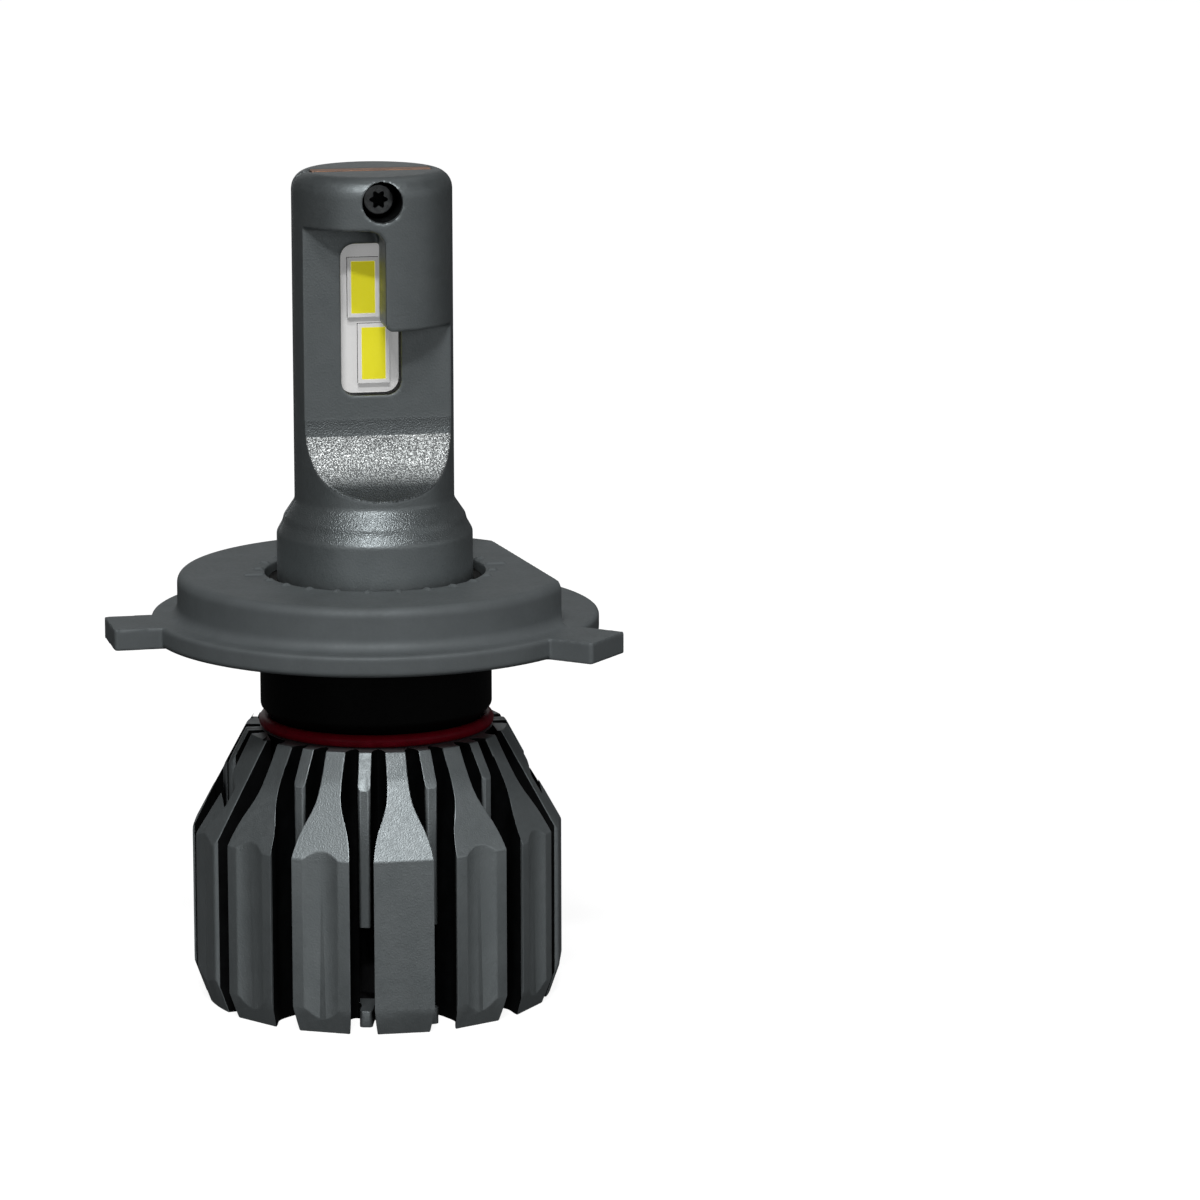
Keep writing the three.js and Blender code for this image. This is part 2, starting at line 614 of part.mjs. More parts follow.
function driverBoard() {
  const { front, rear, lowZ, shoulderZ, topZ, halfWidth, neckHalf } = DRIVER;
  const shape = new THREE.Shape();
  shape.moveTo(-halfWidth, lowZ);
  shape.lineTo(halfWidth, lowZ);
  shape.lineTo(halfWidth, shoulderZ);
  shape.lineTo(neckHalf, shoulderZ);
  shape.lineTo(neckHalf, topZ);
  shape.lineTo(-neckHalf, topZ);
  shape.lineTo(-neckHalf, shoulderZ);
  shape.lineTo(-halfWidth, shoulderZ);
  return slab(shape, front, rear);
}

/** Rectangular part on the driver board's front or rear face. */
function boardPart({ x, z, width, height, depth, onRear }) {
  const lowY = onRear ? DRIVER.rear + FIT_GAP : DRIVER.front - FIT_GAP - depth;
  return box([x - width / 2, lowY, z - height / 2], [x + width / 2, lowY + depth, z + height / 2]);
}

function powerInductor() {
  const { x, z, base, baseHeight, radius, height } = INDUCTOR;
  const foot = { x, z, width: base, height: base, depth: baseHeight, onRear: false };
  const core = crossPin(x, z, radius, DRIVER.front - height, DRIVER.front - baseHeight / 2, DRIVER_SEGMENTS);
  return join(boardPart(foot), core);
}

function inputCapacitor() {
  const { x, z, radius, height } = CAPACITOR;
  const foot = DRIVER.front - FIT_GAP;
  return crossPin(x, z, radius, foot - height, foot, DRIVER_SEGMENTS);
}

function linkLead(x) {
  const { halfWidth, thickness, overlap } = LINK_LEAD;
  const face = DRIVER.front - 2 * FIT_GAP;
  return box(
    [x - halfWidth, face - thickness, DRIVER.topZ - overlap],
    [x + halfWidth, face, BOARD.lowZ + overlap],
  );
}

// ---------------------------------------------------------------- fan

function fanPlate() {
  const { radius, topZ, lowZ, notch } = FAN_PLATE;
  const low = lowZ - PAST;
  const high = topZ + PAST;
  const plate = ring(BUSH_TUBE.inner, radius, lowZ, topZ, FAN_SEGMENTS);
  const tube = ring(BUSH_TUBE.inner, BUSH_TUBE.outer, BUSH_TUBE.lowZ, lowZ + OVERLAP);
  const hole = (side) => post(0, side * FAN_SCREW.y, FAN_SCREW.clearHole, low, high);
  const gap = (x) => box([x - notch.halfX, -notch.halfY, low], [x + notch.halfX, notch.halfY, high]);
  return cut(join(plate, tube), hole(-1), hole(1), gap(-notch.x), gap(notch.x));
}

function fanScrew(side) {
  const { y, headRadius, headHeight, threadRadius, length, slotHalf, slotDepth } = FAN_SCREW;
  const place = side * y;
  const seat = FAN_PLATE.lowZ - FIT_GAP;
  const head = post(0, place, headRadius, seat - headHeight, seat);
  const shank = post(0, place, threadRadius, seat - OVERLAP, seat + length, SCREW_SEGMENTS);
  const slotTop = seat - headHeight + slotDepth;
  const slot = box([-headRadius, place - slotHalf, seat - PAST], [headRadius, place + slotHalf, slotTop]);
  return cut(join(head, shank), slot);
}

function stator() {
  const { arms, inner, ring: ringWidth, outer, topZ, lowZ, armHalf, shoe, shoeAngle } = STATOR;
  const hubRing = ring(inner, inner + ringWidth, lowZ, topZ);
  const arm = box([inner + ringWidth / 2, -armHalf, lowZ], [outer - OVERLAP, armHalf, topZ]);
  const shoeOuter = arc(0, 0, outer, -shoeAngle, shoeAngle, 3);
  const shoeInner = arc(0, 0, outer - shoe, shoeAngle, -shoeAngle, 3);
  const pole = join(arm, prism([...shoeOuter, ...shoeInner], lowZ, topZ));
  return join(hubRing, ...Array.from({ length: arms }, (_, k) => turned(pole, (360 / arms) * k)));
}

/** Copper winding round one stator arm. */
function winding(index) {
  const { inner, outer, halfWidth, overhang } = WINDING;
  const { arms, armHalf, lowZ, topZ } = STATOR;
  const coil = box([inner, -halfWidth, lowZ - overhang], [outer, halfWidth, topZ + overhang]);
  const holeHalf = armHalf + FIT_GAP;
  const hole = box([inner - PAST, -holeHalf, lowZ - FIT_GAP], [outer + PAST, holeHalf, topZ + FIT_GAP]);
  return turned(cut(coil, hole), (360 / arms) * index);
}

function bladeOutline() {
  const { reach, thickness, sweep } = BLADE;
  const steps = 3;
  const root = HUB.wallOuter - OVERLAP;
  const edge = (offset) => Array.from({ length: steps + 1 }, (_, i) => {
    const share = i / steps;
    const r = root + (reach - root) * share;
    const angle = radians(sweep * share ** 1.4) + offset / r;
    return [r * Math.cos(angle), r * Math.sin(angle)];
  });
  return [...edge(-thickness / 2), ...edge(thickness / 2).toReversed()];
}

function fanRotor() {
  const { discRadius, discLowZ, discTopZ, dimple, dimpleDepth, wallOuter, wallInner, topZ } = HUB;
  const { chamfer, shaftBossRadius, shaftBossHeight } = HUB;
  const boreRadius = SHAFT.radius + FIT_GAP;
  const shaftBossTop = discTopZ + shaftBossHeight;
  const cup = revolve([
    [boreRadius, discLowZ + dimpleDepth],
    [dimple, discLowZ + dimpleDepth],
    [dimple, discLowZ],
    [discRadius - chamfer, discLowZ],
    [discRadius, discLowZ + chamfer],
    [discRadius, discTopZ],
    [wallOuter, discTopZ],
    [wallOuter, topZ],
    [wallInner, topZ],
    [wallInner, discTopZ],
    [shaftBossRadius, discTopZ],
    [shaftBossRadius, shaftBossTop],
    [boreRadius, shaftBossTop],
  ], FAN_SEGMENTS);
  const blade = prism(bladeOutline(), BLADE.lowZ, BLADE.topZ);
  const blades = Array.from({ length: BLADE.count }, (_, k) => turned(blade, (360 / BLADE.count) * k));
  const footLowZ = discTopZ - OVERLAP;
  const bladeFoot = ring(wallOuter - OVERLAP, discRadius, footLowZ, BLADE.lowZ + OVERLAP, FAN_SEGMENTS);
  const { y, radius, depth } = BALANCE_HOLE;
  const balanceHole = post(0, y, radius, discLowZ - PAST, discLowZ + depth);
  return cut(join(cup, bladeFoot, ...blades), balanceHole);
}

// ---------------------------------------------------------------- assembly

const bulb = new THREE.Group();
bulb.name = "headlight_bulb";

function add(name, body, look) {
  const { colour, roughness, metalness } = FINISHES[look];
  const material = new THREE.MeshStandardMaterial({ color: colour, roughness, metalness });
  const mesh = new THREE.Mesh(geometryOf(body), material);
  mesh.name = name;
  bulb.add(mesh);
}

const half = plainHalf();
add("body_half_front", frontHalf(half), "casting");
add("body_half_rear", rearHalf(half), "casting");
add("clamp_screw", clampScrew(), "blackSteel");

const coreHalf = BOARD.halfThickness - BOARD_LAYER.thickness;
add("led_board_core", boardPlate(-coreHalf, coreHalf, 0), "copper");
const circuitLayer = boardPlate(-BOARD.halfThickness, -coreHalf - BOARD_LAYER.gap, BOARD_LAYER.inset);
add("led_circuit_front", circuitLayer, "white");
add("led_circuit_rear", mirrored(circuitLayer), "white");
for (const [beam, place] of Object.entries(LED_PLACES)) {
  const tray = ledPackage(place).translate([0, -FIT_GAP, 0]);
  const pad = phosphorPad(place).translate([0, -FIT_GAP - BOARD_LAYER.gap, 0]);
  add(`led_${beam}_front`, tray, "white");
  add(`led_${beam}_rear`, mirrored(tray), "white");
  add(`phosphor_${beam}_front`, pad, "phosphor");
  add(`phosphor_${beam}_rear`, mirrored(pad), "phosphor");
}

add("barrel_sleeve", barrelSleeve(), "black");
add("collar_snap_ring", snapRing(), "steel");
add("o_ring", oRing(), "redRubber");
add("flange_collar", flangeCollar(), "casting");

add("driver_board", driverBoard(), "greenBoard");
add("power_inductor", powerInductor(), "ferrite");
add("input_capacitor", inputCapacitor(), "black");
for (const [name, place] of Object.entries(DRIVER_PARTS)) add(name, boardPart(place), place.look);
for (const [name, x] of Object.entries(LINK_LEADS)) add(`link_lead_${name}`, linkLead(x), "copper");

add("fan_plate", fanPlate(), "black");
add("fan_screw_front", fanScrew(-1), "blackSteel");
add("fan_screw_rear", fanScrew(1), "blackSteel");
const fanBoardLowZ = FAN_BOARD.topZ - FAN_BOARD.thickness;
add("fan_board", ring(FAN_BOARD.inner, FAN_BOARD.outer, fanBoardLowZ, FAN_BOARD.topZ), "greenBoard");
add("fan_stator", stator(), "steel");
for (let k = 0; k < STATOR.arms; k += 1) add(`fan_winding_${k + 1}`, winding(k), "copper");
const bushOuter = BUSH_TUBE.inner - FIT_GAP;
const bushInner = SHAFT.radius + SHAFT.bearingPlay;
add("bearing_bush", ring(bushInner, bushOuter, BUSH_TUBE.lowZ, FAN_PLATE.topZ), "brass");
add("fan_rotor", fanRotor(), "black");
add("rotor_magnet", ring(MAGNET.inner, MAGNET.outer, MAGNET.lowZ, MAGNET.topZ, FAN_SEGMENTS), "ferrite");
const shaftLowZ = HUB.discLowZ + HUB.dimpleDepth + SHAFT.endPlay;
add("rotor_shaft", ring(0, SHAFT.radius, shaftLowZ, SHAFT.topZ), "steel");

export default bulb;
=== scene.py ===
"""LED headlight bulb with a turning three-lug collar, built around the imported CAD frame.

Shapes are worked in millimetres, in the frame of the CAD part: origin at the collar's reference
centre, +Z towards the tip, the halves parting on y = 0 with the front half towards -Y. Each finished
piece is scaled to metres and rides on its CAD body.
"""

import json
import math

import bmesh
import bpy
from mathutils import Matrix, Vector


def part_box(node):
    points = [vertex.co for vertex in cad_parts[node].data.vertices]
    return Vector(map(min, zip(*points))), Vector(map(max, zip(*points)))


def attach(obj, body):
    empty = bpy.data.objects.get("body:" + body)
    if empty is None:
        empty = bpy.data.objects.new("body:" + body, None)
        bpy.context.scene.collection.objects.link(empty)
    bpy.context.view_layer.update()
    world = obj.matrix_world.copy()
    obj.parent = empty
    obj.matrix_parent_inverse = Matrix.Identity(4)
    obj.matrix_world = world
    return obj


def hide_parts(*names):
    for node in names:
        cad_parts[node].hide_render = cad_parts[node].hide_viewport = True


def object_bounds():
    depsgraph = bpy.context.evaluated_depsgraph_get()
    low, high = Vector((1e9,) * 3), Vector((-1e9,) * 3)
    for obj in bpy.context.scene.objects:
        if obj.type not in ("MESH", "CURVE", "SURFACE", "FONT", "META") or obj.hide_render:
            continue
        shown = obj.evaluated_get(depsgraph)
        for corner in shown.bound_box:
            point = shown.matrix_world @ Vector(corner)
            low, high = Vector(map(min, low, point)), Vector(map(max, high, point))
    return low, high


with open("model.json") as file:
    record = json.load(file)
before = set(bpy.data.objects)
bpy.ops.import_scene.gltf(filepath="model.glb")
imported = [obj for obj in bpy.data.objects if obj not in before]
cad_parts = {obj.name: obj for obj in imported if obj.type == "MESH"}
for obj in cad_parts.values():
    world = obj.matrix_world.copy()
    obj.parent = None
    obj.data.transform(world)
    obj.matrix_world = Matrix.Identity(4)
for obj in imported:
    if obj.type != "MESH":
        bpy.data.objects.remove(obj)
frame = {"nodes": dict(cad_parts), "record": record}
cad_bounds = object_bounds()

MM = 0.001


def extent(node):
    """Lowest and highest corner of a CAD node, in millimetres."""
    low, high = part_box(node)
    return low / MM, high / MM


# ---------------------------------------------------------------- dimensions (mm)

half_low, half_high = extent("body_half_front")
collar_low, collar_high = extent("flange_collar")
sleeve_low, sleeve_high = extent("barrel_sleeve")
board_low, board_high = extent("led_board_core")
screw_low, screw_high = extent("clamp_screw")
rotor_low, rotor_high = extent("fan_rotor")
plate_high = extent("fan_plate")[1]
ring_low, ring_high = extent("o_ring")

TIP_Z = half_high.z
BASE_Z = half_low.z
SEAM_GAP = 0.04
FIT = 0.02
RUNNING_GAP = 0.3
OVERLAP = 0.2  # of the ticks and the fan boss with what carries them
PAST = 1  # how far shapes reach past the surface they cut or join
OUTSIDE = 30  # beyond the whole bulb in x and y
ROUND = 144  # segments of a large turned surface
CAST_VOXEL = 0.14  # fineness of the softening that rounds the stem halves and the collar

STEM_RADIUS = 7.65
STEM_TOP_FILLET = 1.75
STEM_FOOT_FILLET = 0.7
NECK_RADIUS = 8.9
NECK_STEP = 0.5  # height of the cone between neck and shoulder
SHOULDER_RADIUS = 9.4
SHOULDER_LOW_Z = 7.95
SHOULDER_TOP_Z = 11.1
SHOULDER_STEPS = [(8.85, 8.95), (8.7, 9.55)]  # (radius, z) of the soft edges in between
SHOULDER_FILLET = 0.5
COLLAR_RECESS = 0.35  # the sleeve's end sits in it
SLEEVE_TOP_Z = collar_low.z + COLLAR_RECESS - RUNNING_GAP
FLAT_Y = -3
FLAT_TOP_Z = 37.75
FLAT_TOP_FILLET = 1.5
SHIELD_BOTTOM_Z = 28.2
SHIELD_LEFT = 0.2
SHIELD_CORNER = 0.7
SCOOP_RADIUS = 8.2
SCOOP_Z = 19.4
WINDOW = (-3.45, 21.5, 2.25, 36)  # left, low, right, top
WINDOW_CORNER = 1.3
CIRCUIT_LAYER = 0.15
BOARD_TAIL_TOP_Z = 6
BOARD_PLAY = 0.1
TAIL_RECESS_HALF = 4.8
TAIL_RECESS_LOW_Z = -3.7
POCKET_HALF_X = 6
POCKET_HALF_Y = 3.5
POCKET_TOP_Z = -0.6

SCREW_Z = (screw_low.z + screw_high.z) / 2
SCREW_HEAD_RADIUS = (screw_high.x - screw_low.x) / 2
SCREW_BORE_RADIUS = 1.9
SCREW_FLOOR_Y = -2.9
SCREW_HOLE_END_Y = 5.7
SCREW_CLEAR_RADIUS = 1.05
THREAD_RADIUS = 0.9
SOCKET_RADIUS = 0.74
SOCKET_WAVE = 0.15
SOCKET_LOBES = 6
SOCKET_DEPTH = 1

LED_RIM = 0.37
LED_WELL_DEPTH = 0.45
LED_EDGE_Y = 1.47  # distance of the white rim's lower edge from the parting plane

SINK_TOP_Z = -11.1
SINK_TOP_RADIUS = 12.6
SINK_ROOF_Z = -13.1
SINK_RADIUS = 17.85
CONE_LOW_Z = -20.9
BASE_CHAMFER_Z = -34.2
BASE_RADIUS = 16.7
WALL_INNER = 9.8
WALL_OUTER = 11.2
FAN_WINDOW_LOW_Z = -35.9
FAN_WINDOW_TOP_Z = -27.75
FIN_ROOT = 10.9  # just inside the wall
FIN_PITCH = 26  # degrees within one half
FINS_EACH_SIDE = 2  # of the middle fin
FIN_FACE = 17.6
FIN_FACE_LOW_Z = -34.9
FIN_FACE_TOP_Z = -20.5
FIN_FLANK = [  # (distance from the axis, half width): a flared root, a narrow stalk, then a bell
    (FIN_ROOT, 1.7), (11.15, 1.4), (11.4, 1.18), (11.8, 1.03), (12.3, 0.98), (13.4, 0.99),
    (14.1, 1.05), (14.6, 1.14), (15.0, 1.29), (15.4, 1.55), (15.8, 1.9), (16.2, 2.24),
    (16.6, 2.5), (17.0, 2.7), (17.3, 2.81), (FIN_FACE, 2.9),
]
FLUTE_HALF_WIDTH = 1.7
FLUTE_RADIUS = 3.8
STUB_REACH = 14.4
STUB_HALF_WIDTH = 0.62
STUB_FLARE = [(FIN_ROOT, 0.7), (11.15, 0.42), (11.4, 0.2), (11.8, 0.05)]  # (distance, extra half width)
STUB_FLARE_END = 12.2
SEAM_STUB_WIDTH = 0.85
SEAM_STUB_ROUND = 0.8
SEAM_FIN_SLOPE = 0.23
SEAM_FIN_INNER = (11, 1.75)
SEAM_FIN_OUTER = (10.2, 5.1)
T_SLOT_INNER = 14.35
T_SLOT_OUTER = 15.4
T_SLOT_HALF = 4.7
FAN_SCREW_Y = 8.4
FAN_BOSS_RADIUS = 1.35
FAN_BOSS_HOLE = 0.62
FAN_BOSS_HOLE_DEPTH = 5

SLEEVE_FOOT_RADIUS = 10
SLEEVE_FOOT_HEIGHT = 1.2
SLEEVE_RIM_RADIUS = 10.25
SLEEVE_CHAMFER = 0.9
SNAP_GROOVE = (9.68, 0.45, 1.25)  # radius of its floor, low and high z
COLLAR_BLANK_INNER = 8
DISC_RADIUS = 21.5
BOSS_RADIUS = 19
BOSS_FLAT_DISTANCE = 15.1
BOSS_FLAT_ANGLE = 5
BOSS_TOP_FILLET = 0.9
BOSS_FOOT_FILLET = 1
COLLAR_BORE = 10.6
COLLAR_GROOVE = (11.1, 0.2, 1.5)  # radius, low and high z
COLLAR_CLOCKING = 3  # degrees
LUG_ROOT = 17
LUG_REACH = 25.8
LUG_CORNER = 0.35
TICKS = 24
TICK_INNER = 10.9
TICK_OUTER = 11.6
INDEX_TICK_OUTER = 12.7
TICK_HALF_WIDTH = 0.21
TICK_HEIGHT = 0.22

HUB_RADIUS = 8.2
HUB_THICKNESS = 0.9
HUB_DIMPLE_RADIUS = 1.4
HUB_DIMPLE_DEPTH = 0.5
CUP_OUTER = 6.3
CUP_INNER = 5.7
SHAFT_BORE = 0.62
SHAFT_BOSS_RADIUS = 1.6
SHAFT_BOSS_HEIGHT = 1.2  # above the disc
BALANCE_HOLE_Y = 5.6
BALANCE_HOLE_RADIUS = 0.9
BLADE_FOOT_INNER = 6.2
BLADE_FOOT_LOW_Z = -36.3
BLADE_FOOT_TOP_Z = -35.4
BLADES = 11
BLADE_ROOT = 6.15
BLADE_LENGTH = 3.2
BLADE_HALF_THICKNESS = 0.225
BLADE_SWEEP = 34  # degrees
BLADE_LOW_Z = -35.5
BLADE_TOP_Z = -29.2


# ---------------------------------------------------------------- working meshes

def new_object(name, bm):
    bmesh.ops.recalc_face_normals(bm, faces=bm.faces)
    mesh = bpy.data.meshes.new(name)
    bm.to_mesh(mesh)
    bm.free()
    obj = bpy.data.objects.new(name, mesh)
    bpy.context.scene.collection.objects.link(obj)
    return obj


def prism(outline, low, high, upright=True):
    """Outline in x and y raised along Z, or where not upright, outline in x and z raised along Y."""
    bm = bmesh.new()
    rings = []
    for h in (low, high):
        rings.append([bm.verts.new((u, v, h) if upright else (u, h, v)) for u, v in outline])
    for ring in rings:
        bm.faces.new(ring)
    lower, upper = rings
    for i in range(len(outline)):
        j = (i + 1) % len(outline)
        bm.faces.new((lower[i], lower[j], upper[j], upper[i]))
    return new_object("prism", bm)


def revolve(profile, segments=ROUND):
    """Solid of revolution about Z from a closed (r, z) profile; a point with r = 0 is a pole."""
    bm = bmesh.new()
    rings = []
    for r, z in profile:
        if r == 0:
            rings.append([bm.verts.new((0, 0, z))] * segments)
        else:
            turns = [2 * math.pi * i / segments for i in range(segments)]
            rings.append([bm.verts.new((r * math.cos(a), r * math.sin(a), z)) for a in turns])
    for here, there in zip(rings, rings[1:] + rings[:1]):
        for i in range(segments):
            j = (i + 1) % segments
            corners = tuple(dict.fromkeys((here[i], here[j], there[j], there[i])))
            if len(corners) > 2:
                bm.faces.new(corners)
    return new_object("turned", bm)


def box(low, high):
    (x0, y0, z0), (x1, y1, z1) = low, high
    return prism([(x0, y0), (x1, y0), (x1, y1), (x0, y1)], z0, z1)


def circle(x, y, radius, steps=48):
    return arc(x, y, radius, 0, 360 * (steps - 1) / steps, steps - 1)


def arc(x, y, radius, start, end, steps=12):
    """Points of an arc between two angles in degrees, both ends included."""
    points = []
    for i in range(steps + 1):
        a = math.radians(start + (end - start) * i / steps)
        points.append((x + radius * math.cos(a), y + radius * math.sin(a)))
    return points


def rounded(corners, steps=6, closed=True):
    """Outline whose (x, y, radius) corners are rounded; a corner with no radius stays sharp."""
    count = len(corners)
    outline = []
    for i, corner in enumerate(corners):
        p = Vector(corner[:2])
        radius = corner[2] if len(corner) > 2 else 0
        at_end = not closed and i in (0, count - 1)
        if at_end or radius == 0:
            outline.append(tuple(p))
            continue
        u = (Vector(corners[i - 1][:2]) - p).normalized()
        v = (Vector(corners[(i + 1) % count][:2]) - p).normalized()
        half = u.angle(v) / 2
        reach = radius / math.tan(half)
        centre = p + (u + v).normalized() * (radius / math.sin(half))
        first = p + u * reach - centre
        last = p + v * reach - centre
        turn = first.angle_signed(last)
        for k in range(steps + 1):
            a = -turn * k / steps
            spun = Vector((
                first.x * math.cos(a) - first.y * math.sin(a),
                first.x * math.sin(a) + first.y * math.cos(a),
            ))
            outline.append(tuple(centre + spun))
    return outline


def bake(obj):
    """The object's modifiers become its mesh."""
    evaluated = obj.evaluated_get(bpy.context.evaluated_depsgraph_get())
    mesh = bpy.data.meshes.new_from_object(evaluated)
    obj.modifiers.clear()
    obj.data = mesh
    return obj


def boolean(target, operation, tools):
    for tool in tools:
        modifier = target.modifiers.new("boolean", "BOOLEAN")
        modifier.operation = operation
        modifier.solver = "MANIFOLD"
        modifier.object = tool
        bake(target)
        bpy.data.objects.remove(tool)
    return target


def join(first, *others):
    return boolean(first, "UNION", others)


def cut(target, *tools):
    return boolean(target, "DIFFERENCE", tools)


def common(target, tool):
    return boolean(target, "INTERSECT", [tool])


def copied(obj):
    twin = obj.copy()
    twin.data = obj.data.copy()
    bpy.context.scene.collection.objects.link(twin)
    return twin


def turned(obj, degrees):
    obj.data.transform(Matrix.Rotation(math.radians(degrees), 4, "Z"))
    return obj


def mirrored(obj, axis=1):
    """Mirror image across y = 0, or across x = 0 for axis 0."""
    factors = Vector((1, 1, 1))
    factors[axis] = -1
    obj.data.transform(Matrix.Diagonal(factors.to_4d()))
    obj.data.flip_normals()
    return obj


def post(x, y, radius, low, high):
    return prism(circle(x, y, radius), low, high)


def cross_pin(x, z, radius, low, high):
    return prism(circle(x, z, radius), low, high, upright=False)


def bevelled(obj, width, angle=30, segments=2):
    modifier = obj.modifiers.new("bevel", "BEVEL")
    modifier.width = width
    modifier.segments = segments
    modifier.limit_method = "ANGLE"
    modifier.angle_limit = math.radians(angle)
    modifier.use_clamp_overlap = False
    return bake(obj)


def softened(obj, voxel, steps, keep):
    """Rounds all edges and corners a little, inner ones too, as a die casting's are."""
    remesh = obj.modifiers.new("remesh", "REMESH")
    remesh.mode = "VOXEL"
    remesh.voxel_size = voxel
    smooth = obj.modifiers.new("smooth", "SMOOTH")
    smooth.factor = 0.5
    smooth.iterations = steps
    thin = obj.modifiers.new("thin", "DECIMATE")
    thin.ratio = keep
    return bake(obj)


# ---------------------------------------------------------------- materials

def material(name, colour, roughness, metallic=0.0, **inputs):
    made = bpy.data.materials.new(name)
    made.use_nodes = True
    shader = made.node_tree.nodes["Principled BSDF"]
    shader.inputs["Base Color"].default_value = (*colour, 1)
    shader.inputs["Roughness"].default_value = roughness
    shader.inputs["Metallic"].default_value = metallic
    for socket, value in inputs.items():
        shader.inputs[socket.replace("_", " ")].default_value = value
    return made


def add(made, kind, **values):
    """A node whose named inputs are set to values, or linked where the value is a socket."""
    tree = made.node_tree
    node = tree.nodes.new(kind)
    for key, value in values.items():
        if hasattr(node, key):
            setattr(node, key, value)
            continue
        socket = node.inputs[key.replace("_", " ")]
        if isinstance(value, bpy.types.NodeSocket):
            tree.links.new(value, socket)
        else:
            socket.default_value = value
    return node


def shader_input(made, socket, source):
    shader = made.node_tree.nodes["Principled BSDF"]
    made.node_tree.links.new(source, shader.inputs[socket])


def position(made):
    return add(made, "ShaderNodeTexCoord").outputs["Object"]


def noise(made, per_mm, detail=2.0, roughness=0.5):
    node = add(made, "ShaderNodeTexNoise", Vector=position(made), Scale=per_mm / MM, Detail=detail)
    node.inputs["Roughness"].default_value = roughness
    return node.outputs["Fac"]


def ramp(made, source, low, high, from_low=0.3, from_high=0.7):
    """source remapped to low..high, clamped."""
    node = add(made, "ShaderNodeMapRange")
    node.inputs["From Min"].default_value = from_low
    node.inputs["From Max"].default_value = from_high
    node.inputs["To Min"].default_value = low
    node.inputs["To Max"].default_value = high
    made.node_tree.links.new(source, node.inputs["Value"])
    return node.outputs["Result"]


def by_height(made, height, low, high, from_mm, to_mm):
    """low at the height from_mm, high at to_mm."""
    return ramp(made, height, low, high, from_mm * MM, to_mm * MM)


def mixed(made, share, first, second):
    """Colour between two colours or sockets."""
    node = add(made, "ShaderNodeMix")
    node.data_type = "RGBA"
    made.node_tree.links.new(share, node.inputs["Factor"])
    # the colour sockets share their names with the other types' sockets
    for socket, value in ((node.inputs[6], first), (node.inputs[7], second)):
        if isinstance(value, bpy.types.NodeSocket):
            made.node_tree.links.new(value, socket)
        else:
            socket.default_value = (*value, 1)
    return node.outputs[2]


def mixed_value(made, share, first, second):
    """The number first where share is 0, the socket second where it is 1."""
    node = add(made, "ShaderNodeMapRange")
    made.node_tree.links.new(share, node.inputs["Value"])
    node.inputs["To Min"].default_value = first
    made.node_tree.links.new(second, node.inputs["To Max"])
    return node.outputs["Result"]


def combined(made, operation, *sources):
    """All sources joined by one operation: MULTIPLY, ADD or MAXIMUM."""
    result = sources[0]
    for source in sources[1:]:
        node = add(made, "ShaderNodeMath", operation=operation)
        made.node_tree.links.new(result, node.inputs[0])
        made.node_tree.links.new(source, node.inputs[1])
        result = node.outputs[0]
    return result


def product(made, *sources):
    return combined(made, "MULTIPLY", *sources)


def scaled(made, colour, factor):
    node = add(made, "ShaderNodeVectorMath", operation="SCALE")
    made.node_tree.links.new(colour, node.inputs[0])
    made.node_tree.links.new(factor, node.inputs["Scale"])
    return node.outputs["Vector"]


def occlusion(made, reach_mm, low, high):
    """0 deep in a crevice, 1 in the open."""
    node = add(made, "ShaderNodeAmbientOcclusion", samples=8, only_local=True, Distance=reach_mm * MM)
    return ramp(made, node.outputs["AO"], 0, 1, low, high)


def grain(made, height_source, strength, depth_mm):
    bump = add(made, "ShaderNodeBump", Height=height_source)
    bump.inputs["Strength"].default_value = strength
    bump.inputs["Distance"].default_value = depth_mm * MM
    shader_input(made, "Normal", bump.outputs["Normal"])


ROUGHNESS_SPREAD = 0.05  # either way


def mottled(name, dark, light, roughness, per_mm=0.5, fine_per_mm=5.0, metallic=0.0, strength=0.3,
            depth_mm=0.03, **inputs):
    """Material with cloudy colour, uneven roughness and a fine grain."""
    made = material(name, light, roughness, metallic, **inputs)
    cloud = noise(made, per_mm, 4)
    shader_input(made, "Base Color", mixed(made, ramp(made, cloud, 0, 1), dark, light))
    patches = noise(made, fine_per_mm * 0.5, 3)
    low, high = roughness - ROUGHNESS_SPREAD, roughness + ROUGHNESS_SPREAD
    shader_input(made, "Roughness", ramp(made, patches, low, high))
    grain(made, noise(made, fine_per_mm, 3, 0.6), strength, depth_mm)
    return made


CASTING_DARK = (0.255, 0.285, 0.295)
CASTING_LIGHT = (0.285, 0.315, 0.325)
CASTING_METAL = 0.8
CASTING_ROUGHNESS = 0.5
BARE_METAL = 0.9
# the blasted scoop's pebbles run between the next two colours: bare metal with painted glints
GLINT_DARK = (0.2, 0.21, 0.212)
GLINT_BRIGHT = (0.9, 0.94, 0.94)
MACHINED = (0.42, 0.45, 0.455)
# painted shade: the near-black that the casting turns deep in its crevices
PAINTED_CREVICE_SHADE = (0.004, 0.0045, 0.005)
BLAST_TOP = 1.7  # the blasted part of the scoop, measured down from the scoop's upper edge
BLAST_BOTTOM = 6.3


